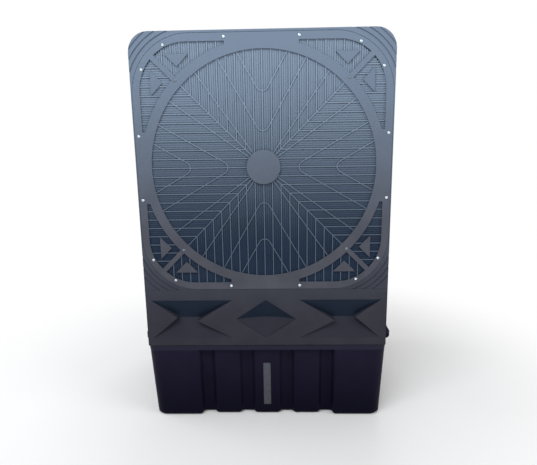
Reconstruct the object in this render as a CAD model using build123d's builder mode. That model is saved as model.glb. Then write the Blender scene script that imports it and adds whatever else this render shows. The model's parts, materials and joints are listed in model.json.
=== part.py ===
from build123d import *
import os
from math import atan2, cos, radians, sin, sqrt

# Evaporative air cooler. Millimetres, +Z up, front facing -Y, origin on the floor under the middle.

# Cabinet
cabinet_width = 624.0
cabinet_depth = 560.0
tank_height = 208.0
lower_panel_height = 155.0
top_margin = 6.0
roof_edge_radius = 48.0
roof_lip = 10.0
shell_wall = 4.0
skirt_depth = 60.0
lap_width = 16.0
lap_root = 10.0
lap_wall = 3.0
lap_gap = 1.0
foot_width = 20.0
seam_gap = 2.0
reveal_height = 2.5
reveal_depth = 2.0

# Water tank
rim_setback = 1.0
rim_flare = 4.0
rim_height = 12.0
tank_wall = 4.0
tank_draft = 10.0
tank_corner_radius = 28.0
tank_bottom_bevel = 6.0
groove_pitch = 106.5
groove_floor = 28.0
groove_slope = 6.0
groove_depth = 20.0
groove_edge_radius = 9.0
lobe_setback = 8.0
side_groove_depth = 12.0
window_width = 20.0
window_height = 126.0
window_center_height = 91.0
window_recess = 1.0
window_corner = 3.0
window_backing = 2.0
drain_height = 28.0
drain_bore_radius = 12.0
drain_boss_radius = 20.0
drain_clearance = 0.3
drain_head_radius = 17.0
drain_head_height = 7.0
drain_head_edge = 2.1
drain_reach = 10.0
drain_grip_width = 5.0
drain_grip_length = 23.8

# Lower front panel
facet_wall = 5.0
facet_depth = 20.0
facet_backing = 4.0
facet_top_drop = 28.0
facet_bottom_rise = 22.0
facet_edge_margin = 14.0
bow_inner_corner = 87.0
bow_inner_apex = 179.0
bow_inner_drop = 4.5
bow_outer_apex = 231.0
bow_outer_lift = 5.0
diamond_half_width = 78.0

# Grille
grille_border = 3.0
grille_thickness = 3.0
grille_corner_radius = 138.0
strip_width = 18.0
window_corner_radius = 113.0
ring_edge = 13.0
ring_width = 23.0
bridge_half = 87.0
diagonal_bar = 12.0
triangle_base = 264.0
triangle_apex = 236.0
triangle_center = 200.0
triangle_half = 28.0
rib_pitch = 21.3
rib_width = 2.6
rib_setback = 2.0
rib_depth = 5.0
flank_angle = 35.5
line_width = 2.4
chevron_apexes = (72.0, 164.0)
chevron_angle = 30.0
chevron_radius = 15.0
hub_cap_radius = 41.4
hub_boss_radius = 37.0
hub_cap_proud = 2.5
hub_cap_bevel = 1.5
corner_groove_pitch = 12.0
corner_groove_width = 3.0
corner_groove_depth = 1.4

# Grille carrier in the front frame
pocket_gap = 0.5
carrier_wall = 4.0
carrier_skin = 1.0
carrier_ledge = 13.0
carrier_corner_radius = 130.0
rib_end_gap = 1.5

# Screws
screw_head_radius = 3.4
screw_head_height = 2.0
screw_head_edge = 0.9
screw_shank_radius = 1.7
screw_hole_gap = 0.1
screw_edge = 9.0
mid_screw_z = 77.4
mid_screw_x = 87.6
corner_screw_near = 230.0
corner_screw_far = 284.0
ring_screw_radius = 290.0
shroud_screw_edge = 41.0
cabinet_screw_low = 60.0
cabinet_screw_mid = 110.0
cabinet_screw_high = 190.0
roof_screw_x = 150.0
screw_bite = 3.0
foot_screw_y = 150.0
foot_screw_bite = 8.0

# Fan, shroud and motor
fan_diameter = 450.0
fan_tip_gap = 8.0
fan_blades = 6
fan_setback = 58.0
fan_hub_radius = 52.0
fan_hub_length = 42.0
blade_root_chord = 100.0
blade_tip_chord = 165.0
blade_root_pitch = 38.0
blade_tip_pitch = 24.0
blade_thickness = 3.5
shroud_wall = 3.0
shroud_depth = 100.0
shroud_lip = 9.0
shroud_gap = 4.0
shaft_radius = 6.0
shaft_gap = 0.05
shaft_tail = 5.0
nut_radius = 11.0
nut_height = 9.0
motor_radius = 58.0
motor_length = 92.0
motor_cap_height = 10.0
bearing_radius = 14.0
bearing_fit = 0.02
beam_height = 28.0
beam_thickness = 3.0
beam_offset = 80.0
motor_ear_width = 44.0
bolt_radius = 3.0
bolt_head_radius = 5.0
bolt_head_height = 3.5
bolt_tail = 4.0
motor_bolt_edge = 9.0
motor_ear_radius = 6.0
motor_fins = 24
motor_fin_height = 3.0
motor_fin_width = 3.0
motor_cap_edge = 4.0
rotor_gap = 1.0
shaft_chamfer = 1.0
fan_hub_wall = 5.0
fan_hub_edge = 9.0
fan_boss_radius = 16.0

# Pads and louvred panels
pad_stile = 30.0
rear_stile = 70.0
side_skirt = 110.0
top_rail = 26.0
panel_overlap = 9.0
panel_flange = 3.5
panel_gap = 1.0
panel_depth = 14.0
panel_border = 16.0
panel_corner_radius = 10.0
slat_pitch = 27.0
slat_width = 20.0
slat_thickness = 2.4
slat_tilt = 40.0
slat_setback = 5.3
mullion_width = 10.0
mullion_count = 2
mullion_depth = 6.0
pad_thickness = 50.0
pad_gap = 4.0

# Water circuit
ledge_width = 16.0
ledge_wall = 3.0
ledge_gap = 2.0
trough_width = 52.0
trough_height = 22.0
trough_wall = 2.5
trough_gap = 1.5
pump_x = 150.0
pump_y = 120.0
pump_radius = 44.0
pump_base_height = 30.0
pump_wall = 6.0
pump_foot_height = 8.0
pump_foot_radius = 5.0
pump_foot_inset = 10.0
pump_feet = 3
pump_duct_width = 20.0
pump_housing_edge = 6.0
pump_housing_radius = 33.0
pump_housing_height = 70.0
pump_inlet_radius = 12.0
impeller_gap = 3.0
impeller_disc = 3.0
impeller_vane_width = 3.0
impeller_vanes = 6
pump_shaft_radius = 3.0
pump_shaft_length = 28.0
spout_offset = 50.0
spout_radius = 8.0
spout_bore = 5.5
spout_height = 62.0
strainer_radius = 62.0
strainer_wall = 3.0
strainer_height = 46.0
strainer_slots = 24
strainer_slot_width = 6.0
strainer_slot_height = 26.0
hose_wall = 2.0
hose_bend_radius = 42.0
hose_overlap = 16.0
nipple_length = 20.0
hose_fit = 0.1
drip_pitch = 34.0
drip_radius = 2.0

# Float valve
float_y = 130.0
float_height = 34.0
valve_size = 26.0
valve_length = 34.0
valve_inlet_radius = 10.0
valve_inlet_length = 20.0
valve_inlet_bore = 6.0
valve_ear_length = 22.0
valve_ear_gap = 8.0
float_pin_radius = 2.5
arm_thickness = 6.0
arm_width = 9.0
arm_length = 150.0
arm_droop = 100.0
ball_radius = 36.0
float_stud_radius = 3.0
float_stud_length = 20.0
float_ball_flat = 1.0

# Controls and cord entry
control_width = 38.0
control_height = 130.0
control_recess = 20.0
control_wall = 3.0
control_thickness = 2.0
control_gap = 0.5
control_setback = 33.0
control_rise = 170.0
knob_radius = 14.0
knob_height = 15.0
knob_gap = 0.6
knob_spread = 32.0
knob_shaft_radius = 3.0
knob_shaft_reach = 18.0
knob_grip_width = 6.0
knob_grip_inset = 1.0
knob_base_height = 7.0
knob_edge = 2.3
switch_size = 26.0
switch_depth = 30.0
gland_x = 250.0
gland_height = 46.0
gland_reach = 16.0
gland_flange_radius = 14.0
gland_flange_height = 6.0
gland_dome_radius = 10.0
gland_shank_radius = 9.0
gland_bore_radius = 4.2
gland_shank_length = 6.0
gland_dome_edge = 3.0

# Carry handles
handle_length = 240.0
handle_forward = 53.0
handle_height = 66.0
handle_reach = 33.0
handle_lip_low = 5.0
handle_lip_high = 22.0
handle_wall = 4.0
handle_ear = 20.0
handle_ear_height = 60.0
handle_drop = 24.0
handle_rim_gap = 1.0
handle_screw_rise = 18.0

# Levels and faces worked out from the sizes above
half_width = cabinet_width / 2
grille_size = cabinet_width - 2 * grille_border
grille_half = grille_size / 2
panel_top = tank_height + lower_panel_height
hub_z = panel_top + seam_gap + grille_half
roof_top = hub_z + grille_half + top_margin
roof_spring = roof_top - roof_edge_radius - roof_lip
front_y = hub_cap_proud - (cabinet_depth + hub_cap_proud + gland_reach) / 2
rear_y = front_y + cabinet_depth
middle_y = (front_y + rear_y) / 2
side_front = front_y + skirt_depth
side_rear = rear_y - skirt_depth
side_length = side_rear - side_front
inner_front = side_front + lap_width + lap_gap
inner_rear = side_rear - lap_width - lap_gap
foot_top = tank_height + shell_wall
opening_bottom = tank_height + side_skirt
opening_top = roof_spring - top_rail
opening_height = opening_top - opening_bottom
opening_middle = (opening_bottom + opening_top) / 2
carrier_y = front_y + grille_thickness
carrier_back = carrier_y + carrier_wall
shroud_back = carrier_back + shroud_wall
rib_y = front_y + rib_setback
ring_outer = grille_half - ring_edge
ring_bore = ring_outer - ring_width
window_half = grille_half - strip_width
carrier_half = grille_half - carrier_ledge
rib_reach = carrier_half - rib_end_gap


def at_y(y):
    """Upright plane across the cabinet at depth y, drawn in x and z, facing the front."""
    return Plane.XZ.offset(-y)


def hub_plane(y):
    """Upright plane at depth y with its origin on the fan axis, facing the front."""
    return Plane(origin=(0, y, hub_z), x_dir=(1, 0, 0), z_dir=(0, -1, 0))


def front_seat(y, x, z):
    """Plane at depth y facing the front, its origin at x and z from the fan axis."""
    return Plane(origin=(x, y, hub_z + z), x_dir=(1, 0, 0), z_dir=(0, -1, 0))


def cabinet_profile(y, inset, bottom):
    """Front outline of the cabinet with rounded shoulders, drawn in by inset, from bottom up."""
    top = roof_top - inset
    with BuildSketch(at_y(y)) as profile:
        with Locations((0, (bottom + top) / 2)):
            Rectangle(cabinet_width - 2 * inset, top - bottom)
        fillet(profile.vertices().group_by(Axis.Y)[-1], roof_edge_radius - inset)
    return profile.sketch


def pan_screw(length):
    """Pan-head screw along -Z, its seat at the origin and its head above."""
    with BuildPart() as screw:
        Cylinder(screw_shank_radius, length, align=(Align.CENTER, Align.CENTER, Align.MAX))
        Cylinder(screw_head_radius, screw_head_height, align=(Align.CENTER, Align.CENTER, Align.MIN))
        fillet(screw.edges().group_by(Axis.Z)[-1], screw_head_edge)
    return screw.part


def screw_group(seats, length):
    """The same screw at each seat plane."""
    with BuildPart() as group:
        with Locations(*seats):
            add(pan_screw(length))
    return group.part


def finish_piece(part, label):
    part.label = label
    export_step(part, "parts/" + label + ".step")


os.makedirs("parts", exist_ok=True)
hole_radius = screw_shank_radius + screw_hole_gap

# Seats of the screws
grille_points = [
    (sx * x, sz * z)
    for x, z in (
        (grille_half - screw_edge, mid_screw_z),
        (mid_screw_x, grille_half - screw_edge),
        (corner_screw_far, corner_screw_near),
        (corner_screw_near, corner_screw_far),
    )
    for sx in (-1, 1)
    for sz in (-1, 1)
]
ring_points = [
    (ring_screw_radius * cos(radians(angle)), ring_screw_radius * sin(radians(angle)))
    for angle in (45, 135, 225, 315)
]
grille_seats = [front_seat(front_y, x, z) for x, z in grille_points]
ring_seats = [front_seat(front_y, x, z) for x, z in ring_points]
shroud_corner = grille_half - shroud_screw_edge
shroud_seats = [
    Plane(origin=(sx * shroud_corner, shroud_back, hub_z + sz * shroud_corner), z_dir=(0, 1, 0))
    for sx in (-1, 1)
    for sz in (-1, 1)
]
shroud_screw_length = shroud_wall + carrier_wall - carrier_skin
lap_ys = (side_front + lap_width / 2, side_rear - lap_width / 2)
lap_zs = (tank_height + cabinet_screw_low, hub_z - cabinet_screw_mid, hub_z + cabinet_screw_high)
side_seats = [
    Plane(origin=(side * half_width, y, z), x_dir=(0, 1, 0), z_dir=(side, 0, 0))
    for side in (-1, 1)
    for y in lap_ys
    for z in lap_zs
]
roof_seats = [
    Plane(origin=(side * roof_screw_x, y, roof_top), z_dir=(0, 0, 1))
    for side in (-1, 1)
    for y in lap_ys
]
cabinet_seats = side_seats + roof_seats
cabinet_screw_length = shell_wall + lap_wall + screw_bite
handle_y = middle_y - handle_forward
handle_middle = tank_height + handle_screw_rise
handle_screw_y = handle_length / 2 + handle_ear / 2
handle_seats = [
    Plane(
        origin=(side * (half_width + handle_wall), handle_y + end * handle_screw_y, handle_middle),
        x_dir=(0, 1, 0),
        z_dir=(side, 0, 0),
    )
    for side in (-1, 1)
    for end in (-1, 1)
]
handle_screw_length = handle_wall + shell_wall + screw_bite
foot_screw_x = half_width - shell_wall - foot_width / 2
foot_seats = [
    Plane(origin=(side * foot_screw_x, middle_y + end * foot_screw_y, foot_top), z_dir=(0, 0, 1))
    for side in (-1, 1)
    for end in (-1, 1)
]
foot_screw_length = shell_wall + foot_screw_bite
control_y = front_y + control_setback
control_z = hub_z + control_rise
control_floor = half_width - control_recess
knob_seats = [
    Plane(
        origin=(control_floor, control_y, control_z + side * knob_spread),
        x_dir=(0, 1, 0),
        z_dir=(1, 0, 0),
    )
    for side in (1, -1)
]


def drill(seats, radius, depth):
    """Round holes of the given depth to each side of the seat planes."""
    with Locations(*seats):
        Cylinder(radius, 2 * depth, mode=Mode.SUBTRACT)


# Water tank: grooved tub with a plain rim
tank_half_x = half_width + rim_flare
tank_half_y = cabinet_depth / 2 - rim_setback
groove_top = tank_height - rim_height
rim_width = groove_depth + tank_wall


def lean(z):
    """How far the tank wall stands in from the rim at height z."""
    return tank_draft * (1 - z / tank_height)


def grooved_edge(centers, depth, lobe, widen):
    """Points along one tank wall as (place along the wall, depth into it)."""
    points = []
    floor = groove_floor / 2 + widen
    for center in centers:
        before = 0 if center == centers[0] else lobe
        after = 0 if center == centers[-1] else lobe
        points.append((center - floor - groove_slope, before))
        points.append((center - floor, depth))
        points.append((center + floor, depth))
        points.append((center + floor + groove_slope, after))
    return points


def tank_section(z, inset, rounded):
    """Closed outline of the tub at height z, drawn in by inset, its grooves rounded or sharp."""
    half_x = tank_half_x - lean(z) - inset
    half_y = tank_half_y - lean(z) - inset
    widen = inset / 2
    long_centers = [groove_pitch * k for k in (-1.5, -0.5, 0.5, 1.5)]
    short_centers = [groove_pitch * k for k in (-1, 0, 1)]
    front = grooved_edge(long_centers, groove_depth, lobe_setback, widen)
    side = grooved_edge(short_centers, side_groove_depth, 0, widen)
    rear = grooved_edge(long_centers, side_groove_depth, 0, widen)
    points = [(-half_x, -half_y)] + [(s, d - half_y) for s, d in front]
    points += [(half_x, -half_y)] + [(half_x - d, s) for s, d in side]
    points += [(half_x, half_y)] + [(-s, half_y - d) for s, d in rear]
    points += [(-half_x, half_y)] + [(d - half_x, -s) for s, d in side]
    with BuildSketch(Plane(origin=(0, middle_y, z))) as section:
        Polygon(*points, align=None)
        if rounded:
            fillet(section.vertices().sort_by_distance((0, 0, 0))[:-4], groove_edge_radius)
        fillet(section.vertices().sort_by_distance((0, 0, 0))[-4:], tank_corner_radius - inset)
    return section.sketch


def rim_section(z, inset):
    """Plain rounded outline of the tank's rim."""
    with BuildSketch(Plane(origin=(0, middle_y, z))) as section:
        RectangleRounded(
            2 * (tank_half_x - inset), 2 * (tank_half_y - inset), tank_corner_radius - inset
        )
    return section.sketch


window_tilt = atan2(tank_draft, tank_height)
window_y = middle_y - tank_half_y + lobe_setback + lean(window_center_height)
window_plane = Plane(
    origin=(0, window_y, window_center_height),
    x_dir=(1, 0, 0),
    z_dir=(0, -cos(window_tilt), -sin(window_tilt)),
)
drain_y = middle_y + tank_half_y
drain_inner = drain_y - lean(0) - side_groove_depth - tank_wall
drain_plane = Plane(origin=(0, drain_y, drain_height), x_dir=(-1, 0, 0), z_dir=(0, 1, 0))

with BuildPart() as water_tank:
    loft(
        [
            tank_section(0, tank_bottom_bevel, True),
            tank_section(tank_bottom_bevel, 0, True),
            tank_section(groove_top, 0, True),
        ],
        ruled=True,
    )
    extrude(rim_section(groove_top, 0), amount=rim_height)
    loft(
        [
            tank_section(tank_wall, tank_wall + tank_bottom_bevel, False),
            tank_section(groove_top, tank_wall, False),
        ],
        ruled=True,
        mode=Mode.SUBTRACT,
    )
    extrude(rim_section(groove_top, rim_width), amount=rim_height, mode=Mode.SUBTRACT)
    with BuildSketch(window_plane) as window_slot:
        RectangleRounded(window_width, window_height, window_corner)
    extrude(amount=2 * tank_wall, both=True, mode=Mode.SUBTRACT)
    with BuildSketch(drain_plane) as drain_boss:
        Circle(drain_boss_radius)
    extrude(amount=drain_inner - drain_y)
    with BuildSketch(drain_plane) as drain_bore:
        Circle(drain_bore_radius)
    extrude(amount=drain_inner - drain_y - 2 * tank_wall, mode=Mode.SUBTRACT)
    drill(foot_seats, hole_radius, foot_screw_length)
finish_piece(water_tank.part, "water_tank")

with BuildPart() as level_window:
    with BuildSketch(window_plane.offset(-window_recess)) as window_pane:
        RectangleRounded(window_width, window_height, window_corner)
    extrude(amount=window_recess - tank_wall - window_backing)
finish_piece(level_window.part, "level_window")

with BuildPart() as drain_plug:
    with BuildSketch(drain_plane) as plug_head:
        Circle(drain_head_radius)
    extrude(amount=drain_head_height)
    fillet(drain_plug.edges().group_by(Axis.Y)[-1], drain_head_edge)
    with BuildSketch(drain_plane) as plug_shank:
        Circle(drain_bore_radius - drain_clearance)
    extrude(amount=drain_inner - drain_y - drain_clearance)
    with BuildSketch(drain_plane.offset(drain_head_height)) as plug_grip:
        Rectangle(drain_grip_length, drain_grip_width)
    extrude(amount=drain_reach - drain_head_height)
finish_piece(drain_plug.part, "drain_plug")


def cut_hollow(y, inset, bottom, depth):
    """Clear the inside of a cabinet frame from depth y backwards."""
    extrude(cabinet_profile(y, inset, bottom), amount=-depth, mode=Mode.SUBTRACT)


# Front frame: shouldered skirt with a carrier for the grille and grooved corners
corner_center = grille_half - grille_corner_radius
with BuildSketch() as corner_arcs:
    with Locations((corner_center, corner_center)):
        for ring in (3, 2, 1):
            arc_radius = grille_corner_radius + ring * corner_groove_pitch
            Circle(arc_radius + corner_groove_width / 2)
            Circle(arc_radius - corner_groove_width / 2, mode=Mode.SUBTRACT)
        Rectangle(cabinet_width, cabinet_width, align=(Align.MIN, Align.MIN), mode=Mode.INTERSECT)

with BuildPart() as front_frame:
    extrude(cabinet_profile(front_y, 0, panel_top), amount=-skirt_depth)
    extrude(
        cabinet_profile(side_front - lap_root, shell_wall, panel_top), amount=-(lap_root + lap_width)
    )
    cut_hollow(carrier_back, shell_wall, panel_top + shell_wall, side_front - lap_root - carrier_back)
    cut_hollow(
        side_front - lap_root, shell_wall + lap_wall, panel_top + shell_wall, lap_root + lap_width
    )
    with BuildSketch(hub_plane(front_y)) as grille_pocket:
        RectangleRounded(
            grille_size + 2 * pocket_gap, grille_size + 2 * pocket_gap, grille_corner_radius + pocket_gap
        )
    extrude(amount=-grille_thickness, mode=Mode.SUBTRACT)
    with BuildSketch(hub_plane(carrier_y)) as carrier_opening:
        RectangleRounded(2 * carrier_half, 2 * carrier_half, carrier_corner_radius)
    extrude(amount=-carrier_wall, mode=Mode.SUBTRACT)
    with BuildSketch(hub_plane(front_y)) as corner_grooves:
        for turn in (0, 90, 180, 270):
            add(corner_arcs.sketch, rotation=turn)
    extrude(amount=-corner_groove_depth, mode=Mode.SUBTRACT)
    drill(cabinet_seats, hole_radius, cabinet_screw_length)
    drill(grille_seats, hole_radius, grille_thickness + carrier_wall)
    drill(shroud_seats, hole_radius, shroud_screw_length)
    with Locations((half_width - shell_wall / 2, control_y, control_z)):
        Box(
            control_recess + control_wall - shell_wall / 2,
            control_width + 2 * control_wall,
            control_height + 2 * control_wall,
            align=(Align.MAX, Align.CENTER, Align.CENTER),
        )
    with Locations((half_width, control_y, control_z)):
        Box(
            control_recess,
            control_width,
            control_height,
            align=(Align.MAX, Align.CENTER, Align.CENTER),
            mode=Mode.SUBTRACT,
        )
    drill(knob_seats, knob_shaft_radius + knob_gap, 2 * control_wall)
finish_piece(front_frame.part, "front_frame")


def cut_reveal():
    """Shadow gap round the foot of the cabinet, where it meets the tank's rim."""
    with BuildSketch(Plane(origin=(0, middle_y, tank_height))) as reveal:
        Rectangle(cabinet_width, cabinet_depth)
        Rectangle(cabinet_width - 2 * reveal_depth, cabinet_depth - 2 * reveal_depth, mode=Mode.SUBTRACT)
    extrude(reveal.sketch, amount=reveal_height, mode=Mode.SUBTRACT)


# Lower front panel: two bow-tie recesses and a scooped diamond
facet_top = panel_top - facet_top_drop
facet_bottom = tank_height + facet_bottom_rise
facet_middle = (facet_top + facet_bottom) / 2
facet_back = front_y + facet_depth
bow_outer = half_width - facet_edge_margin
wedge = [(front_y, facet_top), (front_y, facet_bottom), (facet_back, facet_middle)]
bow_tie = [
    (bow_outer, facet_top),
    (bow_inner_corner, facet_top),
    (bow_inner_apex, facet_middle - bow_inner_drop),
    (bow_inner_corner, facet_bottom),
    (bow_outer, facet_bottom),
    (bow_outer_apex, facet_middle + bow_outer_lift),
]
diamond = [
    (0, facet_top),
    (diamond_half_width, facet_middle),
    (0, facet_bottom),
    (-diamond_half_width, facet_middle),
]
scoop_radius = (diamond_half_width**2 - facet_depth**2) / (2 * facet_depth)
scoop_axis = Axis((0, front_y - scoop_radius, 0), (0, 0, 1))

with BuildPart() as bow_cutter:
    with BuildSketch(Plane.YZ) as bow_wedge:
        Polygon(*wedge, align=None)
    extrude(amount=half_width)
    with BuildSketch(at_y(front_y)) as bow_face:
        Polygon(*bow_tie, align=None)
    extrude(amount=-facet_depth, mode=Mode.INTERSECT)

with BuildPart() as diamond_cutter:
    with BuildSketch(Plane.YZ) as diamond_wedge:
        Polygon(*wedge, align=None)
    revolve(axis=scoop_axis)
    with BuildSketch(at_y(front_y)) as diamond_face:
        Polygon(*diamond, align=None)
    extrude(amount=-facet_depth, mode=Mode.INTERSECT)

panel_middle = (tank_height + panel_top) / 2
facet_backs = (
    (-(bow_outer + bow_inner_corner) / 2, bow_outer - bow_inner_corner),
    (0, 2 * diamond_half_width),
    ((bow_outer + bow_inner_corner) / 2, bow_outer - bow_inner_corner),
)

with BuildPart() as lower_panel:
    with BuildSketch(at_y(front_y)) as panel_face:
        with Locations((0, panel_middle)):
            Rectangle(cabinet_width, lower_panel_height)
    extrude(amount=-skirt_depth)
    with BuildSketch(at_y(front_y + facet_wall)) as panel_hollow:
        with Locations((0, panel_middle)):
            Rectangle(cabinet_width - 2 * shell_wall, lower_panel_height - 2 * shell_wall)
    extrude(amount=facet_wall - skirt_depth, mode=Mode.SUBTRACT)
    with BuildSketch(at_y(side_front - lap_root)) as panel_laps:
        with Locations((0, panel_middle)):
            Rectangle(cabinet_width - 2 * shell_wall, lower_panel_height)
            Rectangle(
                cabinet_width - 2 * shell_wall - 2 * lap_wall, lower_panel_height, mode=Mode.SUBTRACT
            )
    extrude(amount=-(lap_root + lap_width))
    for back_x, back_width in facet_backs:
        with Locations((back_x, front_y + facet_wall / 2, facet_middle)):
            Box(
                back_width + 2 * facet_backing,
                facet_depth + facet_backing - facet_wall / 2,
                facet_top - facet_bottom + 2 * facet_backing,
                align=(Align.CENTER, Align.MIN, Align.CENTER),
            )
    add(bow_cutter.part, mode=Mode.SUBTRACT)
    mirror(bow_cutter.part, about=Plane.YZ, mode=Mode.SUBTRACT)
    add(diamond_cutter.part, mode=Mode.SUBTRACT)
    cut_reveal()
    drill(cabinet_seats, hole_radius, cabinet_screw_length)
finish_piece(lower_panel.part, "lower_panel")

# Side frames, each with an opening for its pad panel
inner_length = inner_rear - inner_front
inner_middle = (inner_front + inner_rear) / 2
inner_face = half_width - shell_wall
side_opening = side_length - 2 * pad_stile
rear_opening = cabinet_width - 2 * rear_stile
ledge_z = opening_top + ledge_gap
valve_seat = Plane(
    origin=(-half_width, middle_y + float_y, tank_height + float_height),
    x_dir=(0, -1, 0),
    z_dir=(-1, 0, 0),
)

with BuildPart() as side_frame_right:
    with BuildSketch(Plane.YZ.offset(inner_face)) as side_face:
        with Locations((middle_y, (tank_height + roof_spring) / 2)):
            Rectangle(side_length, roof_spring - tank_height)
        with Locations((middle_y, opening_middle)):
            Rectangle(side_opening, opening_height, mode=Mode.SUBTRACT)
    extrude(amount=shell_wall)
    with Locations((inner_face, inner_middle, tank_height)):
        Box(foot_width, inner_length, shell_wall, align=(Align.MAX, Align.CENTER, Align.MIN))
    with Locations((inner_face, inner_middle, ledge_z)):
        Box(ledge_width, inner_length, ledge_wall, align=(Align.MAX, Align.CENTER, Align.MIN))
    cut_reveal()
    drill(cabinet_seats, hole_radius, cabinet_screw_length)
    drill(handle_seats, hole_radius, handle_screw_length)
    drill(foot_seats, hole_radius, foot_screw_length)
finish_piece(side_frame_right.part, "side_frame_right")

with BuildPart() as side_frame_left:
    mirror(side_frame_right.part, about=Plane.YZ)
    drill([valve_seat], valve_inlet_radius + screw_hole_gap, 2 * shell_wall)
finish_piece(side_frame_left.part, "side_frame_left")

# Rear frame and roof
gland_seat = Plane(
    origin=(gland_x, rear_y, tank_height + gland_height), x_dir=(-1, 0, 0), z_dir=(0, 1, 0)
)

with BuildPart() as rear_frame:
    extrude(cabinet_profile(side_rear, 0, tank_height), amount=-skirt_depth)
    extrude(
        cabinet_profile(side_rear - lap_width, shell_wall, tank_height), amount=-(lap_root + lap_width)
    )
    cut_hollow(
        side_rear - lap_width, shell_wall + lap_wall, tank_height + shell_wall, lap_root + lap_width
    )
    cut_hollow(
        side_rear + lap_root, shell_wall, tank_height + shell_wall, skirt_depth - lap_root - shell_wall
    )
    with BuildSketch(at_y(rear_y)) as rear_face:
        with Locations((0, opening_middle)):
            Rectangle(rear_opening, opening_height)
    extrude(amount=shell_wall, mode=Mode.SUBTRACT)
    with Locations((0, rear_y - shell_wall, ledge_z)):
        Box(rear_opening, ledge_width, ledge_wall, align=(Align.CENTER, Align.MAX, Align.MIN))
    cut_reveal()
    drill(cabinet_seats, hole_radius, cabinet_screw_length)
    drill([gland_seat], gland_shank_radius + screw_hole_gap, 2 * shell_wall)
finish_piece(rear_frame.part, "rear_frame")

with BuildPart() as top_cover:
    extrude(cabinet_profile(side_front, 0, roof_spring), amount=-side_length)
    cut_hollow(side_front, shell_wall, roof_spring, side_length)
    drill(cabinet_seats, hole_radius, cabinet_screw_length)
finish_piece(top_cover.part, "top_cover")

finish_piece(screw_group(cabinet_seats, cabinet_screw_length), "cabinet_screws")
finish_piece(screw_group(foot_seats, foot_screw_length), "foot_screws")

# Carry handles: hoods open underneath, with a screwed ear at each end
handle_z = tank_height - handle_drop
handle_tip = half_width + handle_reach
slope = (handle_height - handle_lip_high) / handle_reach
slope_drop = handle_wall * sqrt(1 + slope**2)
hood_points = [
    (half_width, handle_z),
    (handle_tip - handle_lip_low, handle_z),
    (handle_tip, handle_z + handle_lip_low),
    (handle_tip, handle_z + handle_lip_high),
    (half_width, handle_z + handle_height),
]
grip_points = [
    (half_width + handle_wall, handle_z),
    (handle_tip - handle_lip_low - handle_wall, handle_z),
    (handle_tip - handle_wall, handle_z + handle_lip_low),
    (handle_tip - handle_wall, handle_z + handle_lip_high + slope * handle_wall - slope_drop),
    (half_width + handle_wall, handle_z + handle_height - slope * handle_wall - slope_drop),
]

with BuildPart() as handle_right:
    with BuildSketch(at_y(handle_y)) as hood_face:
        Polygon(*hood_points, align=None)
    extrude(amount=handle_length / 2, both=True)
    fillet(handle_right.edges().filter_by(Axis.Y).group_by(Axis.X)[-1], handle_wall)
    with Locations((half_width, handle_y, handle_z)):
        Box(
            handle_wall,
            handle_length + 2 * handle_ear,
            handle_ear_height,
            align=(Align.MIN, Align.CENTER, Align.MIN),
        )
    with BuildSketch(at_y(handle_y)) as grip_face:
        Polygon(*grip_points, align=None)
    extrude(amount=handle_length / 2 - handle_wall, both=True, mode=Mode.SUBTRACT)
    with Locations((half_width, handle_y, tank_height + handle_rim_gap)):
        Box(
            rim_flare + handle_rim_gap,
            handle_length + 2 * handle_ear,
            handle_drop + handle_rim_gap,
            align=(Align.MIN, Align.CENTER, Align.MAX),
            mode=Mode.SUBTRACT,
        )
    drill(handle_seats, hole_radius, handle_screw_length)
finish_piece(handle_right.part, "handle_right")

with BuildPart() as handle_left:
    mirror(handle_right.part, about=Plane.YZ)
finish_piece(handle_left.part, "handle_left")

finish_piece(screw_group(handle_seats, handle_screw_length), "handle_screws")

# Front grille: plate, ring, corner windows and ribs in one moulding
rib_count = 2 * int(rib_reach / rib_pitch) + 1
chevron_end = (ring_bore + ring_outer) / 2


def chevron_points(apex):
    """Left end, apex and right end of a chevron that opens upwards to the ring."""
    run = cos(radians(chevron_angle))
    leg = -apex * run + sqrt((apex * run) ** 2 + chevron_end**2 - apex**2)
    end_x = leg * sin(radians(chevron_angle))
    end_z = apex + leg * run
    return [(-end_x, end_z), (0, apex), (end_x, end_z)]


quarter_turns = [Location((0, 0, 0), (0, 0, turn)) for turn in (0, 90, 180, 270)]
flank_turns = [
    Location((0, 0, 0), (0, 0, turn))
    for turn in (flank_angle, 90 - flank_angle, 90 + flank_angle, 180 - flank_angle)
]
diagonal_turns = [Location((0, 0, 0), (0, 0, turn)) for turn in (45, 135)]

with BuildSketch() as sector_bars:
    with GridLocations(rib_pitch, 1, rib_count, 1):
        Rectangle(rib_width, 2 * rib_reach)
    for side in (-grille_size, grille_size):
        Polygon((0, 0), (side, grille_size), (side, -grille_size), align=None, mode=Mode.SUBTRACT)

with BuildSketch() as chevron_lines:
    for apex in chevron_apexes:
        with BuildLine() as chevron:
            FilletPolyline(*chevron_points(apex), radius=chevron_radius)
        trace(chevron.line, line_width=line_width)

with BuildSketch(hub_plane(rib_y)) as rib_face:
    add(sector_bars.sketch)
    add(sector_bars.sketch, rotation=90)
    with Locations(*quarter_turns):
        add(chevron_lines.sketch)
    with Locations(*flank_turns):
        Rectangle(2 * ring_outer, line_width)
    with Locations(*diagonal_turns):
        Rectangle(4 * rib_reach, rib_width)
    Circle(hub_boss_radius)
    RectangleRounded(
        2 * rib_reach, 2 * rib_reach, carrier_corner_radius - rib_end_gap, mode=Mode.INTERSECT
    )
    with Locations(*ring_points):
        Circle(hole_radius, mode=Mode.SUBTRACT)

with BuildSketch() as corner_windows:
    RectangleRounded(2 * window_half, 2 * window_half, window_corner_radius)
    Circle(ring_outer, mode=Mode.SUBTRACT)
    Rectangle(2 * bridge_half, grille_size, mode=Mode.SUBTRACT)
    Rectangle(grille_size, 2 * bridge_half, mode=Mode.SUBTRACT)
    with Locations(*diagonal_turns):
        Rectangle(2 * grille_size, diagonal_bar, mode=Mode.SUBTRACT)

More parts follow.
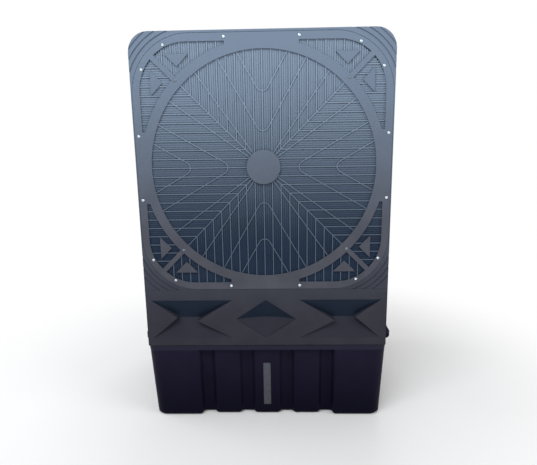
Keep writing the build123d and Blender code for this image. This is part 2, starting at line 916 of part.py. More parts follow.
with BuildSketch() as corner_triangles:
    for center in (-triangle_center, triangle_center):
        Polygon(
            (center - triangle_half, triangle_base),
            (center, triangle_apex),
            (center + triangle_half, triangle_base),
            align=None,
        )

with BuildSketch(hub_plane(front_y)) as plate_face:
    RectangleRounded(grille_size, grille_size, grille_corner_radius)
    Circle(ring_bore, mode=Mode.SUBTRACT)
    add(corner_windows.sketch, mode=Mode.SUBTRACT)
    with Locations(*quarter_turns):
        add(corner_triangles.sketch)
    with Locations(*grille_points, *ring_points):
        Circle(hole_radius, mode=Mode.SUBTRACT)

with BuildPart() as front_grille:
    extrude(plate_face.sketch, amount=-grille_thickness)
    extrude(rib_face.sketch, amount=-rib_depth)
finish_piece(front_grille.part, "front_grille")

with BuildPart(hub_plane(rib_y)) as hub_cap:
    Cylinder(hub_cap_radius, rib_setback + hub_cap_proud, align=(Align.CENTER, Align.CENTER, Align.MIN))
    chamfer(hub_cap.edges().group_by(Axis.Y)[0], hub_cap_bevel)
finish_piece(hub_cap.part, "hub_cap")

finish_piece(screw_group(grille_seats, grille_thickness + carrier_wall), "grille_screws")
finish_piece(screw_group(ring_seats, shroud_back - front_y), "ring_screws")

# Fan shroud: flange on the carrier, collar round the blades and a rear lip for the beams
shroud_bore = fan_diameter / 2 + fan_tip_gap
shroud_end = carrier_back + shroud_depth
flange_half = half_width - shell_wall - shroud_gap
bolt_hole = bolt_radius + screw_hole_gap
lip_middle = shroud_bore + (shroud_wall + shroud_lip) / 2
beam_bolt_x = sqrt(lip_middle**2 - beam_offset**2)
beam_back = shroud_end + beam_thickness
cap_back = beam_back + motor_cap_height
beam_bolt_seats = [
    Plane(origin=(sx * beam_bolt_x, beam_back, hub_z + sz * beam_offset), z_dir=(0, 1, 0))
    for sx in (-1, 1)
    for sz in (-1, 1)
]
ear_bolt_x = motor_ear_width / 2 - motor_bolt_edge
ear_bolt_seats = [
    Plane(origin=(sx * ear_bolt_x, cap_back, hub_z + sz * beam_offset), z_dir=(0, 1, 0))
    for sx in (-1, 1)
    for sz in (-1, 1)
]

with BuildPart() as fan_shroud:
    with BuildSketch(hub_plane(carrier_back)) as shroud_flange:
        RectangleRounded(2 * flange_half, 2 * flange_half, roof_edge_radius - shell_wall - shroud_gap)
    extrude(amount=-shroud_wall)
    with BuildSketch(hub_plane(carrier_back)) as shroud_collar:
        Circle(shroud_bore + shroud_wall)
    extrude(amount=-shroud_depth)
    with BuildSketch(hub_plane(shroud_end - shroud_wall)) as shroud_rear:
        Circle(shroud_bore + shroud_wall + shroud_lip)
    extrude(amount=-shroud_wall)
    with BuildSketch(hub_plane(carrier_back)) as shroud_hole:
        Circle(shroud_bore)
    extrude(amount=-shroud_depth, mode=Mode.SUBTRACT)
    drill(ring_seats, hole_radius, shroud_back - front_y)
    drill(shroud_seats, hole_radius, shroud_screw_length)
    drill(beam_bolt_seats, bolt_hole, beam_thickness + shroud_wall)
finish_piece(fan_shroud.part, "fan_shroud")

finish_piece(screw_group(shroud_seats, shroud_screw_length), "shroud_screws")

# Two beams across the shroud carry the motor by its front cap
for beam_name, beam_side in (("motor_beam_upper", 1), ("motor_beam_lower", -1)):
    with BuildPart() as motor_beam:
        with BuildSketch(hub_plane(shroud_end)) as beam_face:
            with Locations((0, beam_side * beam_offset)):
                SlotCenterToCenter(2 * beam_bolt_x, beam_height)
        extrude(amount=-beam_thickness)
        drill(beam_bolt_seats, bolt_hole, beam_thickness)
        drill(ear_bolt_seats, bolt_hole, motor_cap_height + beam_thickness)
    finish_piece(motor_beam.part, beam_name)


def hex_bolt(length):
    """Hexagon bolt along -Z, its seat at the origin."""
    with BuildPart() as bolt:
        Cylinder(bolt_radius, length, align=(Align.CENTER, Align.CENTER, Align.MAX))
        with BuildSketch() as bolt_head:
            RegularPolygon(bolt_head_radius, 6)
        extrude(amount=bolt_head_height)
    return bolt.part


with BuildPart() as motor_bolts:
    with Locations(*beam_bolt_seats):
        add(hex_bolt(beam_thickness + shroud_wall + bolt_tail))
    with Locations(*ear_bolt_seats):
        add(hex_bolt(motor_cap_height + beam_thickness + bolt_tail))
finish_piece(motor_bolts.part, "motor_bolts")

# Motor with its shaft in two bearings
motor_back = cap_back + motor_length
rear_cap_back = motor_back + motor_cap_height
fan_y = front_y + fan_setback
fan_front = fan_y - fan_hub_length / 2
bearing_bore = shaft_radius + shaft_gap
shaft_front = fan_front - nut_height - shaft_tail
shaft_back = rear_cap_back + shaft_tail
ear_half_height = beam_offset + beam_height / 2

with BuildPart() as motor_front_cap:
    with BuildSketch(hub_plane(beam_back)) as cap_face:
        Circle(motor_radius)
        Rectangle(motor_ear_width, 2 * ear_half_height)
        fillet(cap_face.vertices().group_by(Axis.Y)[0], motor_ear_radius)
        fillet(cap_face.vertices().group_by(Axis.Y)[-1], motor_ear_radius)
        Circle(bearing_radius + bearing_fit, mode=Mode.SUBTRACT)
    extrude(amount=-motor_cap_height)
    drill(ear_bolt_seats, bolt_hole, motor_cap_height)
finish_piece(motor_front_cap.part, "motor_front_cap")

with BuildPart() as motor_body:
    with BuildSketch(hub_plane(cap_back)) as body_face:
        Circle(motor_radius)
        with PolarLocations(motor_radius, motor_fins):
            Rectangle(2 * motor_fin_height, motor_fin_width)
        Circle(shaft_radius + rotor_gap, mode=Mode.SUBTRACT)
    extrude(amount=-motor_length)
finish_piece(motor_body.part, "motor_body")

with BuildPart() as motor_rear_cap:
    with BuildSketch(hub_plane(motor_back)) as rear_cap_face:
        Circle(motor_radius)
        Circle(bearing_radius + bearing_fit, mode=Mode.SUBTRACT)
    extrude(amount=-motor_cap_height)
    fillet(motor_rear_cap.edges().group_by(Axis.Y)[-1].sort_by(SortBy.LENGTH)[-1], motor_cap_edge)
finish_piece(motor_rear_cap.part, "motor_rear_cap")

for bearing_name, bearing_y in (("front_bearing", beam_back), ("rear_bearing", motor_back)):
    with BuildPart() as bearing:
        with BuildSketch(hub_plane(bearing_y)) as bearing_face:
            Circle(bearing_radius)
            Circle(bearing_bore, mode=Mode.SUBTRACT)
        extrude(amount=-motor_cap_height)
    finish_piece(bearing.part, bearing_name)

with BuildPart() as motor_shaft:
    with BuildSketch(hub_plane(shaft_front)) as shaft_face:
        Circle(shaft_radius)
    extrude(amount=shaft_front - shaft_back)
    chamfer(motor_shaft.edges().filter_by(GeomType.CIRCLE), shaft_chamfer)
finish_piece(motor_shaft.part, "motor_shaft")

# Fan: cupped hub and twisted blades
fan_radius = fan_diameter / 2
fan_axis = Axis((0, fan_y, hub_z), (0, 1, 0))


def blade_section(radius, chord, pitch):
    """Rounded blade section across the radius, turned by its pitch."""
    with BuildSketch(Plane(origin=(radius, fan_y, hub_z), x_dir=(0, 0, 1), z_dir=(1, 0, 0))) as section:
        SlotOverall(chord, blade_thickness, rotation=pitch)
    return section.sketch


with BuildPart() as blade:
    loft(
        [
            blade_section(fan_hub_radius - fan_hub_wall, blade_root_chord, blade_root_pitch),
            blade_section(fan_radius, blade_tip_chord, blade_tip_pitch),
        ]
    )
    with Locations(hub_plane(fan_y)):
        Cylinder(fan_radius, 2 * fan_hub_length + blade_tip_chord, mode=Mode.INTERSECT)

with BuildPart() as fan:
    with BuildSketch(hub_plane(fan_front)) as hub_face:
        Circle(fan_hub_radius)
    extrude(amount=-fan_hub_length)
    fillet(fan.edges().group_by(Axis.Y)[0], fan_hub_edge)
    for index in range(fan_blades):
        add(blade.part.rotate(fan_axis, index * 360 / fan_blades))
    with BuildSketch(hub_plane(fan_front + fan_hub_wall)) as hub_cup:
        Circle(fan_hub_radius - fan_hub_wall)
        Circle(fan_boss_radius, mode=Mode.SUBTRACT)
    extrude(amount=fan_hub_wall - fan_hub_length, mode=Mode.SUBTRACT)
    with BuildSketch(hub_plane(fan_front)) as hub_bore:
        Circle(bearing_bore)
    extrude(amount=-fan_hub_length, mode=Mode.SUBTRACT)
finish_piece(fan.part, "fan")

with BuildPart() as fan_nut:
    with BuildSketch(hub_plane(fan_front)) as nut_face:
        RegularPolygon(nut_radius, 6)
        Circle(bearing_bore, mode=Mode.SUBTRACT)
    extrude(amount=nut_height)
finish_piece(fan_nut.part, "fan_nut")


# Louvred panels with their pads, drawn straight off the cabinet
def louvre_panel(face, width):
    """Louvred panel on an opening of the given width; face is the outer face of the frame."""
    slat_count = int((opening_height - 2 * panel_border) / slat_pitch)
    slat_length = width - panel_border
    inner_width = width - 2 * panel_border
    inner_height = opening_height - 2 * panel_border
    with BuildPart() as panel:
        with BuildSketch(face) as flange_face:
            RectangleRounded(
                width + 2 * panel_overlap, opening_height + 2 * panel_overlap, panel_corner_radius
            )
        extrude(amount=panel_flange)
        with BuildSketch(face) as insert_face:
            Rectangle(width - 2 * panel_gap, opening_height - 2 * panel_gap)
        extrude(amount=-panel_depth)
        with BuildSketch(face.offset(panel_flange)) as clear_face:
            Rectangle(inner_width, inner_height)
        extrude(amount=-panel_flange - panel_depth, mode=Mode.SUBTRACT)
        with Locations(face.offset(-slat_setback)):
            with GridLocations(1, slat_pitch, 1, slat_count):
                Box(slat_length, slat_width, slat_thickness, rotation=(slat_tilt, 0, 0))
        with Locations(face.offset(-panel_depth)):
            with GridLocations(inner_width / (mullion_count + 1), 1, mullion_count, 1):
                Box(
                    mullion_width,
                    opening_height - panel_border,
                    mullion_depth,
                    align=(Align.CENTER, Align.CENTER, Align.MIN),
                )
    return panel.part


def cooling_pad(face, width):
    """Pad slab on the inner side of its louvred panel."""
    with BuildPart() as pad:
        with BuildSketch(face.offset(-panel_depth)) as pad_face:
            Rectangle(width - 2 * pad_gap, opening_height - 2 * pad_gap)
        extrude(amount=-pad_thickness)
    return pad.part


right_face = Plane(origin=(half_width, middle_y, opening_middle), x_dir=(0, 1, 0), z_dir=(1, 0, 0))
left_face = Plane(origin=(-half_width, middle_y, opening_middle), x_dir=(0, -1, 0), z_dir=(-1, 0, 0))
back_face = Plane(origin=(0, rear_y, opening_middle), x_dir=(-1, 0, 0), z_dir=(0, 1, 0))
for place, face, width in (
    ("right", right_face, side_opening),
    ("left", left_face, side_opening),
    ("rear", back_face, rear_opening),
):
    finish_piece(louvre_panel(face, width), "panel_" + place)
    finish_piece(cooling_pad(face, width), "pad_" + place)

# Pump on the tank floor, inside its strainer
pump_bottom = tank_wall + pump_foot_height
pump_top = pump_bottom + pump_base_height
cavity_radius = pump_radius - pump_wall
cavity_height = pump_base_height - 2 * pump_wall
cavity_middle = pump_bottom + pump_base_height / 2
impeller_radius = cavity_radius - impeller_gap
spout_y = pump_y - spout_offset
spout_top = pump_bottom + spout_height
pump_bore = pump_shaft_radius + shaft_gap

with BuildPart() as pump_body:
    with Locations((pump_x, pump_y, tank_wall)):
        with PolarLocations(pump_radius - pump_foot_inset, pump_feet):
            Cylinder(
                pump_foot_radius,
                pump_foot_height + pump_wall,
                align=(Align.CENTER, Align.CENTER, Align.MIN),
            )
    with Locations((pump_x, pump_y, pump_bottom)):
        Cylinder(pump_radius, pump_base_height, align=(Align.CENTER, Align.CENTER, Align.MIN))
    with Locations((pump_x, pump_y, pump_top)):
        Cylinder(
            pump_housing_radius, pump_housing_height, align=(Align.CENTER, Align.CENTER, Align.MIN)
        )
    fillet(pump_body.edges().group_by(Axis.Z)[-1], pump_housing_edge)
    with Locations((pump_x, pump_y, pump_bottom)):
        Box(
            pump_duct_width,
            spout_offset + pump_duct_width / 2,
            pump_base_height,
            align=(Align.CENTER, Align.MAX, Align.MIN),
        )
    with Locations((pump_x, spout_y, pump_bottom)):
        Cylinder(spout_radius, spout_height, align=(Align.CENTER, Align.CENTER, Align.MIN))
    with Locations((pump_x, pump_y, cavity_middle)):
        Cylinder(cavity_radius, cavity_height, mode=Mode.SUBTRACT)
        Cylinder(
            pump_inlet_radius,
            pump_base_height,
            align=(Align.CENTER, Align.CENTER, Align.MAX),
            mode=Mode.SUBTRACT,
        )
        Cylinder(
            pump_bore,
            pump_shaft_length + shaft_tail,
            align=(Align.CENTER, Align.CENTER, Align.MIN),
            mode=Mode.SUBTRACT,
        )
        Cylinder(
            spout_bore,
            spout_offset,
            rotation=(90, 0, 0),
            align=(Align.CENTER, Align.CENTER, Align.MIN),
            mode=Mode.SUBTRACT,
        )
    with Locations((pump_x, spout_y, cavity_middle)):
        Cylinder(
            spout_bore,
            spout_height,
            align=(Align.CENTER, Align.CENTER, Align.MIN),
            mode=Mode.SUBTRACT,
        )
finish_piece(pump_body.part, "pump_body")

with BuildPart() as pump_impeller:
    with Locations((pump_x, pump_y, cavity_middle + impeller_disc)):
        Cylinder(impeller_radius, impeller_disc, align=(Align.CENTER, Align.CENTER, Align.MAX))
    with Locations((pump_x, pump_y, cavity_middle)):
        with PolarLocations(impeller_radius / 2 + impeller_vane_width, impeller_vanes):
            Box(
                impeller_radius - 2 * impeller_vane_width,
                impeller_vane_width,
                cavity_height / 2 - impeller_gap,
                align=(Align.CENTER, Align.CENTER, Align.MAX),
            )
        Cylinder(pump_shaft_radius, pump_shaft_length, align=(Align.CENTER, Align.CENTER, Align.MIN))
finish_piece(pump_impeller.part, "pump_impeller")

with BuildPart() as pump_strainer:
    with Locations((pump_x, pump_y, tank_wall)):
        Cylinder(
            strainer_radius + strainer_wall,
            strainer_height,
            align=(Align.CENTER, Align.CENTER, Align.MIN),
        )
        Cylinder(
            strainer_radius,
            strainer_height,
            align=(Align.CENTER, Align.CENTER, Align.MIN),
            mode=Mode.SUBTRACT,
        )
    with Locations((pump_x, pump_y, tank_wall + strainer_height / 2)):
        with PolarLocations(strainer_radius, strainer_slots):
            Box(4 * strainer_wall, strainer_slot_width, strainer_slot_height, mode=Mode.SUBTRACT)
finish_piece(pump_strainer.part, "pump_strainer")

# Water distributor: an open trough round three sides, above the pads
trough_bottom = ledge_z + ledge_wall
trough_half = inner_face - lap_wall - trough_gap
trough_front = inner_front + trough_gap
trough_back = rear_y - shell_wall - trough_gap
trough_inner = trough_half - trough_width
nipple_z = trough_bottom + trough_height / 2
drip_rows = int((trough_back - trough_front - trough_width) / drip_pitch)
drip_columns = int(2 * trough_inner / drip_pitch)


def trough_plan(z, inset):
    """Plan of the trough as three straight runs, drawn in by inset."""
    run = trough_back - trough_front - 2 * inset
    with BuildSketch(Plane(origin=(0, trough_back - inset, z))) as plan:
        Rectangle(2 * (trough_half - inset), run, align=(Align.CENTER, Align.MAX))
        with Locations((0, 2 * inset - trough_width)):
            Rectangle(
                2 * (trough_inner + inset), run, align=(Align.CENTER, Align.MAX), mode=Mode.SUBTRACT
            )
    return plan.sketch


with BuildPart() as water_distributor:
    extrude(trough_plan(trough_bottom, 0), amount=trough_height)
    with Locations((trough_inner + trough_wall / 2, spout_y, nipple_z)):
        Cylinder(
            spout_radius,
            nipple_length + trough_wall / 2,
            rotation=(0, -90, 0),
            align=(Align.CENTER, Align.CENTER, Align.MIN),
        )
    extrude(
        trough_plan(trough_bottom + trough_wall, trough_wall), amount=trough_height, mode=Mode.SUBTRACT
    )
    with Locations((trough_inner + trough_width / 2, spout_y, nipple_z)):
        Cylinder(
            spout_bore,
            nipple_length + trough_width / 2,
            rotation=(0, -90, 0),
            align=(Align.CENTER, Align.CENTER, Align.MIN),
            mode=Mode.SUBTRACT,
        )
    with Locations((0, (trough_front + trough_back - trough_width) / 2, trough_bottom)):
        with GridLocations(2 * trough_half - trough_width, drip_pitch, 2, drip_rows):
            Cylinder(drip_radius, 4 * trough_wall, mode=Mode.SUBTRACT)
    with Locations((0, trough_back - trough_width / 2, trough_bottom)):
        with GridLocations(drip_pitch, 1, drip_columns, 1):
            Cylinder(drip_radius, 4 * trough_wall, mode=Mode.SUBTRACT)
finish_piece(water_distributor.part, "water_distributor")

with BuildPart() as delivery_hose:
    hose_start = (pump_x, spout_y, spout_top - hose_overlap)
    hose_end = (trough_inner - nipple_length + hose_overlap, spout_y, nipple_z)
    with BuildLine() as hose_path:
        FilletPolyline(hose_start, (pump_x, spout_y, nipple_z), hose_end, radius=hose_bend_radius)
    with BuildSketch(Plane(origin=hose_start)) as hose_section:
        Circle(spout_radius + hose_fit + hose_wall)
        Circle(spout_radius + hose_fit, mode=Mode.SUBTRACT)
    sweep(path=hose_path.wires()[0])
finish_piece(delivery_hose.part, "delivery_hose")

# Float valve in the left skirt: the ball rises on its arm as the tank fills
valve_y = middle_y + float_y
valve_z = tank_height + float_height
valve_back = -inner_face
valve_front = valve_back + valve_length
pin_x = valve_front + valve_ear_length / 2
pin_point = (pin_x, valve_y, valve_z)
arm_reach = sqrt(arm_length**2 + arm_droop**2)
arm_direction = (arm_length / arm_reach, 0, -arm_droop / arm_reach)
arm_plane = Plane(origin=pin_point, x_dir=(0, 1, 0), z_dir=arm_direction)
ball_point = (pin_x + arm_length, valve_y, valve_z - arm_droop)
pin_bore = float_pin_radius + shaft_gap

with BuildPart() as float_valve:
    with Locations((valve_back, valve_y, valve_z)):
        Box(valve_length, valve_size, valve_size, align=(Align.MIN, Align.CENTER, Align.CENTER))
    with Locations((valve_front, valve_y, valve_z)):
        Box(valve_ear_length, valve_size, valve_size, align=(Align.MIN, Align.CENTER, Align.CENTER))
        Box(
            valve_ear_length,
            valve_ear_gap,
            valve_size,
            align=(Align.MIN, Align.CENTER, Align.CENTER),
            mode=Mode.SUBTRACT,
        )
    with Locations((valve_back, valve_y, valve_z)):
        Cylinder(
            valve_inlet_radius,
            valve_inlet_length,
            rotation=(0, -90, 0),
            align=(Align.CENTER, Align.CENTER, Align.MIN),
        )
    with Locations(valve_seat.offset(valve_inlet_length)):
        Cylinder(
            valve_inlet_bore,
            valve_inlet_length + valve_length,
            align=(Align.CENTER, Align.CENTER, Align.MAX),
            mode=Mode.SUBTRACT,
        )
    with Locations(pin_point):
        Cylinder(pin_bore, valve_size, rotation=(90, 0, 0), mode=Mode.SUBTRACT)
finish_piece(float_valve.part, "float_valve")

with BuildPart() as float_pin:
    with Locations(pin_point):
        Cylinder(float_pin_radius, valve_size, rotation=(90, 0, 0))
finish_piece(float_pin.part, "float_pin")

with BuildPart() as float_arm:
    with Locations(pin_point):
        Cylinder(arm_width / 2, arm_thickness, rotation=(90, 0, 0))
    with Locations(arm_plane):
        Box(
            arm_thickness,
            arm_width,
            arm_reach - ball_radius,
            align=(Align.CENTER, Align.CENTER, Align.MIN),
        )
        Cylinder(
            float_stud_radius,
            arm_reach - ball_radius + float_stud_length,
            align=(Align.CENTER, Align.CENTER, Align.MIN),
        )
    with Locations(pin_point):
        Cylinder(pin_bore, valve_size, rotation=(90, 0, 0), mode=Mode.SUBTRACT)
finish_piece(float_arm.part, "float_arm")

with BuildPart() as float_ball:
    with Locations(ball_point):
        Sphere(ball_radius)
    with Locations(arm_plane.offset(arm_reach - ball_radius)):
        Box(
            2 * ball_radius,
            2 * ball_radius,
            2 * float_ball_flat,
            mode=Mode.SUBTRACT,
        )
        Cylinder(
            float_stud_radius + shaft_gap,
            float_stud_length + float_ball_flat,
            align=(Align.CENTER, Align.CENTER, Align.MIN),
            mode=Mode.SUBTRACT,
        )
finish_piece(float_ball.part, "float_ball")

# Controls in the pocket of the right skirt
with BuildPart() as control_plate:
    with Locations((control_floor, control_y, control_z)):
        Box(
            control_thickness,
            control_width - 2 * control_gap,
            control_height - 2 * control_gap,
            align=(Align.MIN, Align.CENTER, Align.CENTER),
        )
    drill(knob_seats, knob_shaft_radius + knob_gap, 2 * control_thickness)
finish_piece(control_plate.part, "control_plate")

for control_name, seat in zip(("speed", "pump"), knob_seats):
    with BuildPart() as knob:
        with Locations(seat.offset(control_thickness + knob_gap)):
            Cylinder(knob_radius, knob_base_height, align=(Align.CENTER, Align.CENTER, Align.MIN))
        fillet(knob.edges().group_by(Axis.X)[-1], knob_edge)
        with Locations(seat.offset(control_thickness + knob_gap)):
            Box(
                knob_grip_width,
                2 * knob_radius - 2 * knob_grip_inset,
                knob_height,
                align=(Align.CENTER, Align.CENTER, Align.MIN),
            )
            Cylinder(
                knob_shaft_radius, knob_shaft_reach, align=(Align.CENTER, Align.CENTER, Align.MAX)
            )
    finish_piece(knob.part, control_name + "_knob")
    with BuildPart() as switch:
        with Locations(seat.offset(-control_wall)):
            Box(
                switch_size, switch_size, switch_depth, align=(Align.CENTER, Align.CENTER, Align.MAX)
            )
            Cylinder(
                knob_shaft_radius + shaft_gap,
                knob_shaft_reach,
                align=(Align.CENTER, Align.CENTER, Align.MAX),
                mode=Mode.SUBTRACT,
            )
    finish_piece(switch.part, control_name + "_switch")

# Cord gland in the rear face
with BuildPart() as cord_gland:
    with Locations(gland_seat):
        Cylinder(
            gland_flange_radius, gland_flange_height, align=(Align.CENTER, Align.CENTER, Align.MIN)
        )
        Cylinder(gland_dome_radius, gland_reach, align=(Align.CENTER, Align.CENTER, Align.MIN))
        Cylinder(
            gland_shank_radius,
            shell_wall + gland_shank_length,
            align=(Align.CENTER, Align.CENTER, Align.MAX),
        )
    fillet(cord_gland.edges().group_by(Axis.Y)[-1], gland_dome_edge)
    with Locations(gland_seat):
        Cylinder(gland_bore_radius, 4 * gland_reach, mode=Mode.SUBTRACT)
finish_piece(cord_gland.part, "cord_gland")
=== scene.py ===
import json
import math

import bmesh
import bpy
from mathutils import Matrix, Vector


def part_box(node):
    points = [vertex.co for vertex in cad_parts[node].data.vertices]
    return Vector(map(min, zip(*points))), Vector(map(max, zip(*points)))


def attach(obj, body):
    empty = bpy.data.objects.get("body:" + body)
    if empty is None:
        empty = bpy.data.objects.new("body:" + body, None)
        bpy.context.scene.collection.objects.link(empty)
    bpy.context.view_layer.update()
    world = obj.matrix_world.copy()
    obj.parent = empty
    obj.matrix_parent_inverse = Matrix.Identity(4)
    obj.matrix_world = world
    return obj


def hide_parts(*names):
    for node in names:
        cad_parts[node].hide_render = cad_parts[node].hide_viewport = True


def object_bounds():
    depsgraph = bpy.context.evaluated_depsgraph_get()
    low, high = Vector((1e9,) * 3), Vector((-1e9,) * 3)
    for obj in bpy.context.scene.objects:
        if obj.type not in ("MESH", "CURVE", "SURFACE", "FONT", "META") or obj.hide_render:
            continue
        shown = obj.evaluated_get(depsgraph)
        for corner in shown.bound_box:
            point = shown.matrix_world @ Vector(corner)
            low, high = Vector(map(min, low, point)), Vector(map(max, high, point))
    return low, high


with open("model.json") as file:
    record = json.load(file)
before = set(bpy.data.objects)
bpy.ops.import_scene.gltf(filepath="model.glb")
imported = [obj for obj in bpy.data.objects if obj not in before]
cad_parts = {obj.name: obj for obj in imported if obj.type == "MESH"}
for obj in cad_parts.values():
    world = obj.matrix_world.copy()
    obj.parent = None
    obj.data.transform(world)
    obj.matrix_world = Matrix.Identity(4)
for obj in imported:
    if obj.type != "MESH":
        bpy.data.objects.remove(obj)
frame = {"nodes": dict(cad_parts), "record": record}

cad_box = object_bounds()
nodes = frame["nodes"]

# Places read from the frame, in metres
grille_low, grille_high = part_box("front_grille")
front_y = grille_low.y
hub_z = (grille_low.z + grille_high.z) / 2
object_top = cad_box[1].z

# Camera fitted to the photograph: pixels, sensor width in millimetres, turns in degrees, and where
# the hub lies from the camera (right, down, forward) in metres
PHOTO_WIDTH = 537
PHOTO_HEIGHT = 465
SENSOR_WIDTH = 36.0
FOCAL_PX = 492.4
PRINCIPAL_ROW = 245.0
CAMERA_PITCH = 12.44
CAMERA_YAW = 1.52
CAMERA_ROLL = -0.87
HUB_FROM_CAMERA = Vector((-0.01227, -0.18903, 1.19793))
CAMERA_NEAR = 0.05

# Screws: sizes in metres, then counts, the dome's share of the head and the turn from one to the next
SCREW_HEAD_HEIGHT = 0.002
SCREW_SHANK_RADIUS = 0.0017
SCREW_CROSS_WIDTH = 0.0009
SCREW_CROSS_LENGTH = 0.0023
SCREW_CROSS_DEPTH = 0.0010
SCREW_RINGS = 14
SCREW_SIDES = 4 * SCREW_RINGS
SCREW_DOME_SHARE = 0.55
SCREW_DOME_POWER = 4
SCREW_CROSS_POWER = 3
SCREW_TURN = 0.7
WELD_DISTANCE = 1e-6
PLACE_DIGITS = 4
ROOF_TOLERANCE = 1e-4

# Cooling pads: sizes in metres, then counts and the slopes of the flutes
PAD_SHEET_PITCH = 0.008
PAD_SHEET_THICKNESS = 0.0006
PAD_WAVE = 0.018
PAD_WAVE_STEPS = 6
PAD_DEPTH_STEPS = 10
PAD_FLUTE_SLOPES = (1.0, -0.7)

# Slats behind the grille's ribs, in metres; front and back are depths behind the grille's front
RIB_PITCH = 0.0213
RIB_REACH = 0.2945
RIB_CORNER = 0.1285
HUB_BOSS = 0.037
SLATS_PER_RIB = 4
SLAT_WIDTH = 0.0047
SLAT_FRONT = 0.0042
SLAT_BACK = 0.0068
SLAT_SHORTEST = 0.004

# Marks of the two dials: sizes in metres, how much longer the off tick is, and angles in degrees
MARK_RADIUS = 0.0172
MARK_LENGTH = 0.0026
MARK_WIDTH = 0.0008
MARK_HEIGHT = 0.0004
MARK_OFF_STRETCH = 1.4
POINTER_START = 0.003
POINTER_END = 0.0125
SPEED_ANGLES = (0, -90, -180, -270)
PUMP_ANGLES = (0, -90)

# Colours of dust and of the tank's rim band, and of painted light: painted haze that pales things
# with height, and painted shade on what looks down, on low ledges and at the tank's foot
PAINTED_HAZE_COLOUR = (0.185, 0.245, 0.335)
SLAT_PAINTED_HAZE = (0.210, 0.270, 0.355)
DUST_COLOUR = (0.23, 0.22, 0.20)
# painted shade on the cabinet's faces that look down
UNDERSIDE_SHADE_COLOUR = (0.008, 0.015, 0.030)
# painted shade on ledges low on the cabinet
LEDGE_SHADE_COLOUR = (0.018, 0.019, 0.029)
# painted shade on the tank's faces that look down
TANK_UNDERSIDE_SHADE = (0.004, 0.003, 0.009)
# painted shade: the tank darker towards its bottom
TANK_FOOT_SHADE = (0.0030, 0.0022, 0.0095)
TANK_RIM = (0.0190, 0.0175, 0.0340)
# painted haze: the grille's set-back ribs dark low down and pale high up
RIB_HAZE_COLOURS = ((0.070, 0.095, 0.134), (0.240, 0.305, 0.395))

# Heights above the floor between which a look changes, in metres: painted haze, painted shade on low
# ledges and at the tank's foot, the tank's rim band and the window's paling
PAINTED_HAZE_SPAN = (0.36, 1.06)
CABINET_SPAN = (0.22, 1.06)
GRILLE_SPAN = (0.43, 1.0)
SLAT_SPAN = (0.45, 0.98)
LEDGE_SHADE_SPAN = (0.355, 0.37)
FOOT_SHADE_SPAN = (0.0, 0.2)
RIM_SPAN = (0.192, 0.197)
WINDOW_SPAN = (0.02, 0.15)

# Depths behind the grille's front between which its plate gives way to the ribs, in metres
RIB_SPAN = (0.0010, 0.0016)

# Upright part of the normal between which a look changes: painted shade below, dust on top, and
# painted shade on sloping ledges
UNDERSIDE_SHADE_SLOPES = (-0.32, -0.12)
DUST_SLOPES = (0.35, 0.95)
LEDGE_SLOPES = (0.12, 0.3)

# Part of a noise's range that a look spans: the usual one, and those of separate spots and of the
# patches of painted shade on ledges
NOISE_SPREAD = (0.3, 0.7)
DUST_SPREAD = (0.35, 0.7)
STAIN_SPREAD = (0.35, 0.7)
SPOT_SPREAD = (0.35, 0.75)
LEDGE_SHADE_PATCH_SPREAD = (0.2, 0.8)
DUST_RANGE = (0.2, 1.0)
LEDGE_SHADE_PATCH_RANGE = (0.6, 1.0)
BEVEL_SAMPLES = 4

# Looks of the materials, by finish; slat_plastic, dull_steel and mark_print are the scene's own;
# paling with height is painted haze, and the colours for undersides, low ledges and the tank's foot
# are painted shade
PLASTICS = {
    "cabinet_plastic": dict(
        colour=(0.028, 0.027, 0.037), roughness=0.55, fade=0.85, painted_haze_span=CABINET_SPAN,
        edge=0.0022, under=UNDERSIDE_SHADE_COLOUR, ledge_shade=LEDGE_SHADE_COLOUR,
    ),
    "grille_plastic": dict(
        colour=(0.066, 0.069, 0.087), roughness=0.52, fade=0.8, painted_haze_span=GRILLE_SPAN,
        edge=0.0006, ribs=RIB_HAZE_COLOURS,
    ),
    # slats: dark navy as painted shade of the cabinet's inside, paler with height as painted haze
    "slat_plastic": dict(
        colour=(0.017, 0.029, 0.054), roughness=0.6, fade=1.0, painted_haze_span=SLAT_SPAN,
        painted_haze_colour=SLAT_PAINTED_HAZE, dust=0.0, specular=0.06, edge=0.0003,
    ),
    "panel_plastic": dict(colour=(0.032, 0.033, 0.044), roughness=0.52, fade=0.5),
    "tank_plastic": dict(
        colour=(0.0100, 0.0080, 0.0210), roughness=0.5, dust=0.1, specular=0.05,
        under=TANK_UNDERSIDE_SHADE, foot=TANK_FOOT_SHADE, rim=TANK_RIM,
    ),
    # shroud and fan: dark navy as painted shade of the cabinet's inside, paler with height as painted
    # haze
    "shroud_plastic": dict(colour=(0.009, 0.015, 0.028), roughness=0.7, fade=0.6, specular=0.03),
    "fan_plastic": dict(colour=(0.010, 0.017, 0.031), roughness=0.65, fade=0.6, specular=0.04),
    "pump_plastic": dict(colour=(0.05, 0.09, 0.19), roughness=0.45),
    "trough_plastic": dict(colour=(0.42, 0.43, 0.44), roughness=0.5),
    "float_plastic": dict(colour=(0.60, 0.17, 0.035), roughness=0.38, specular=0.45),
    "plate_plastic": dict(colour=(0.10, 0.105, 0.115), roughness=0.45),
    "knob_plastic": dict(colour=(0.016, 0.016, 0.018), roughness=0.36, specular=0.4),
    "switch_plastic": dict(colour=(0.48, 0.45, 0.38), roughness=0.5),
}
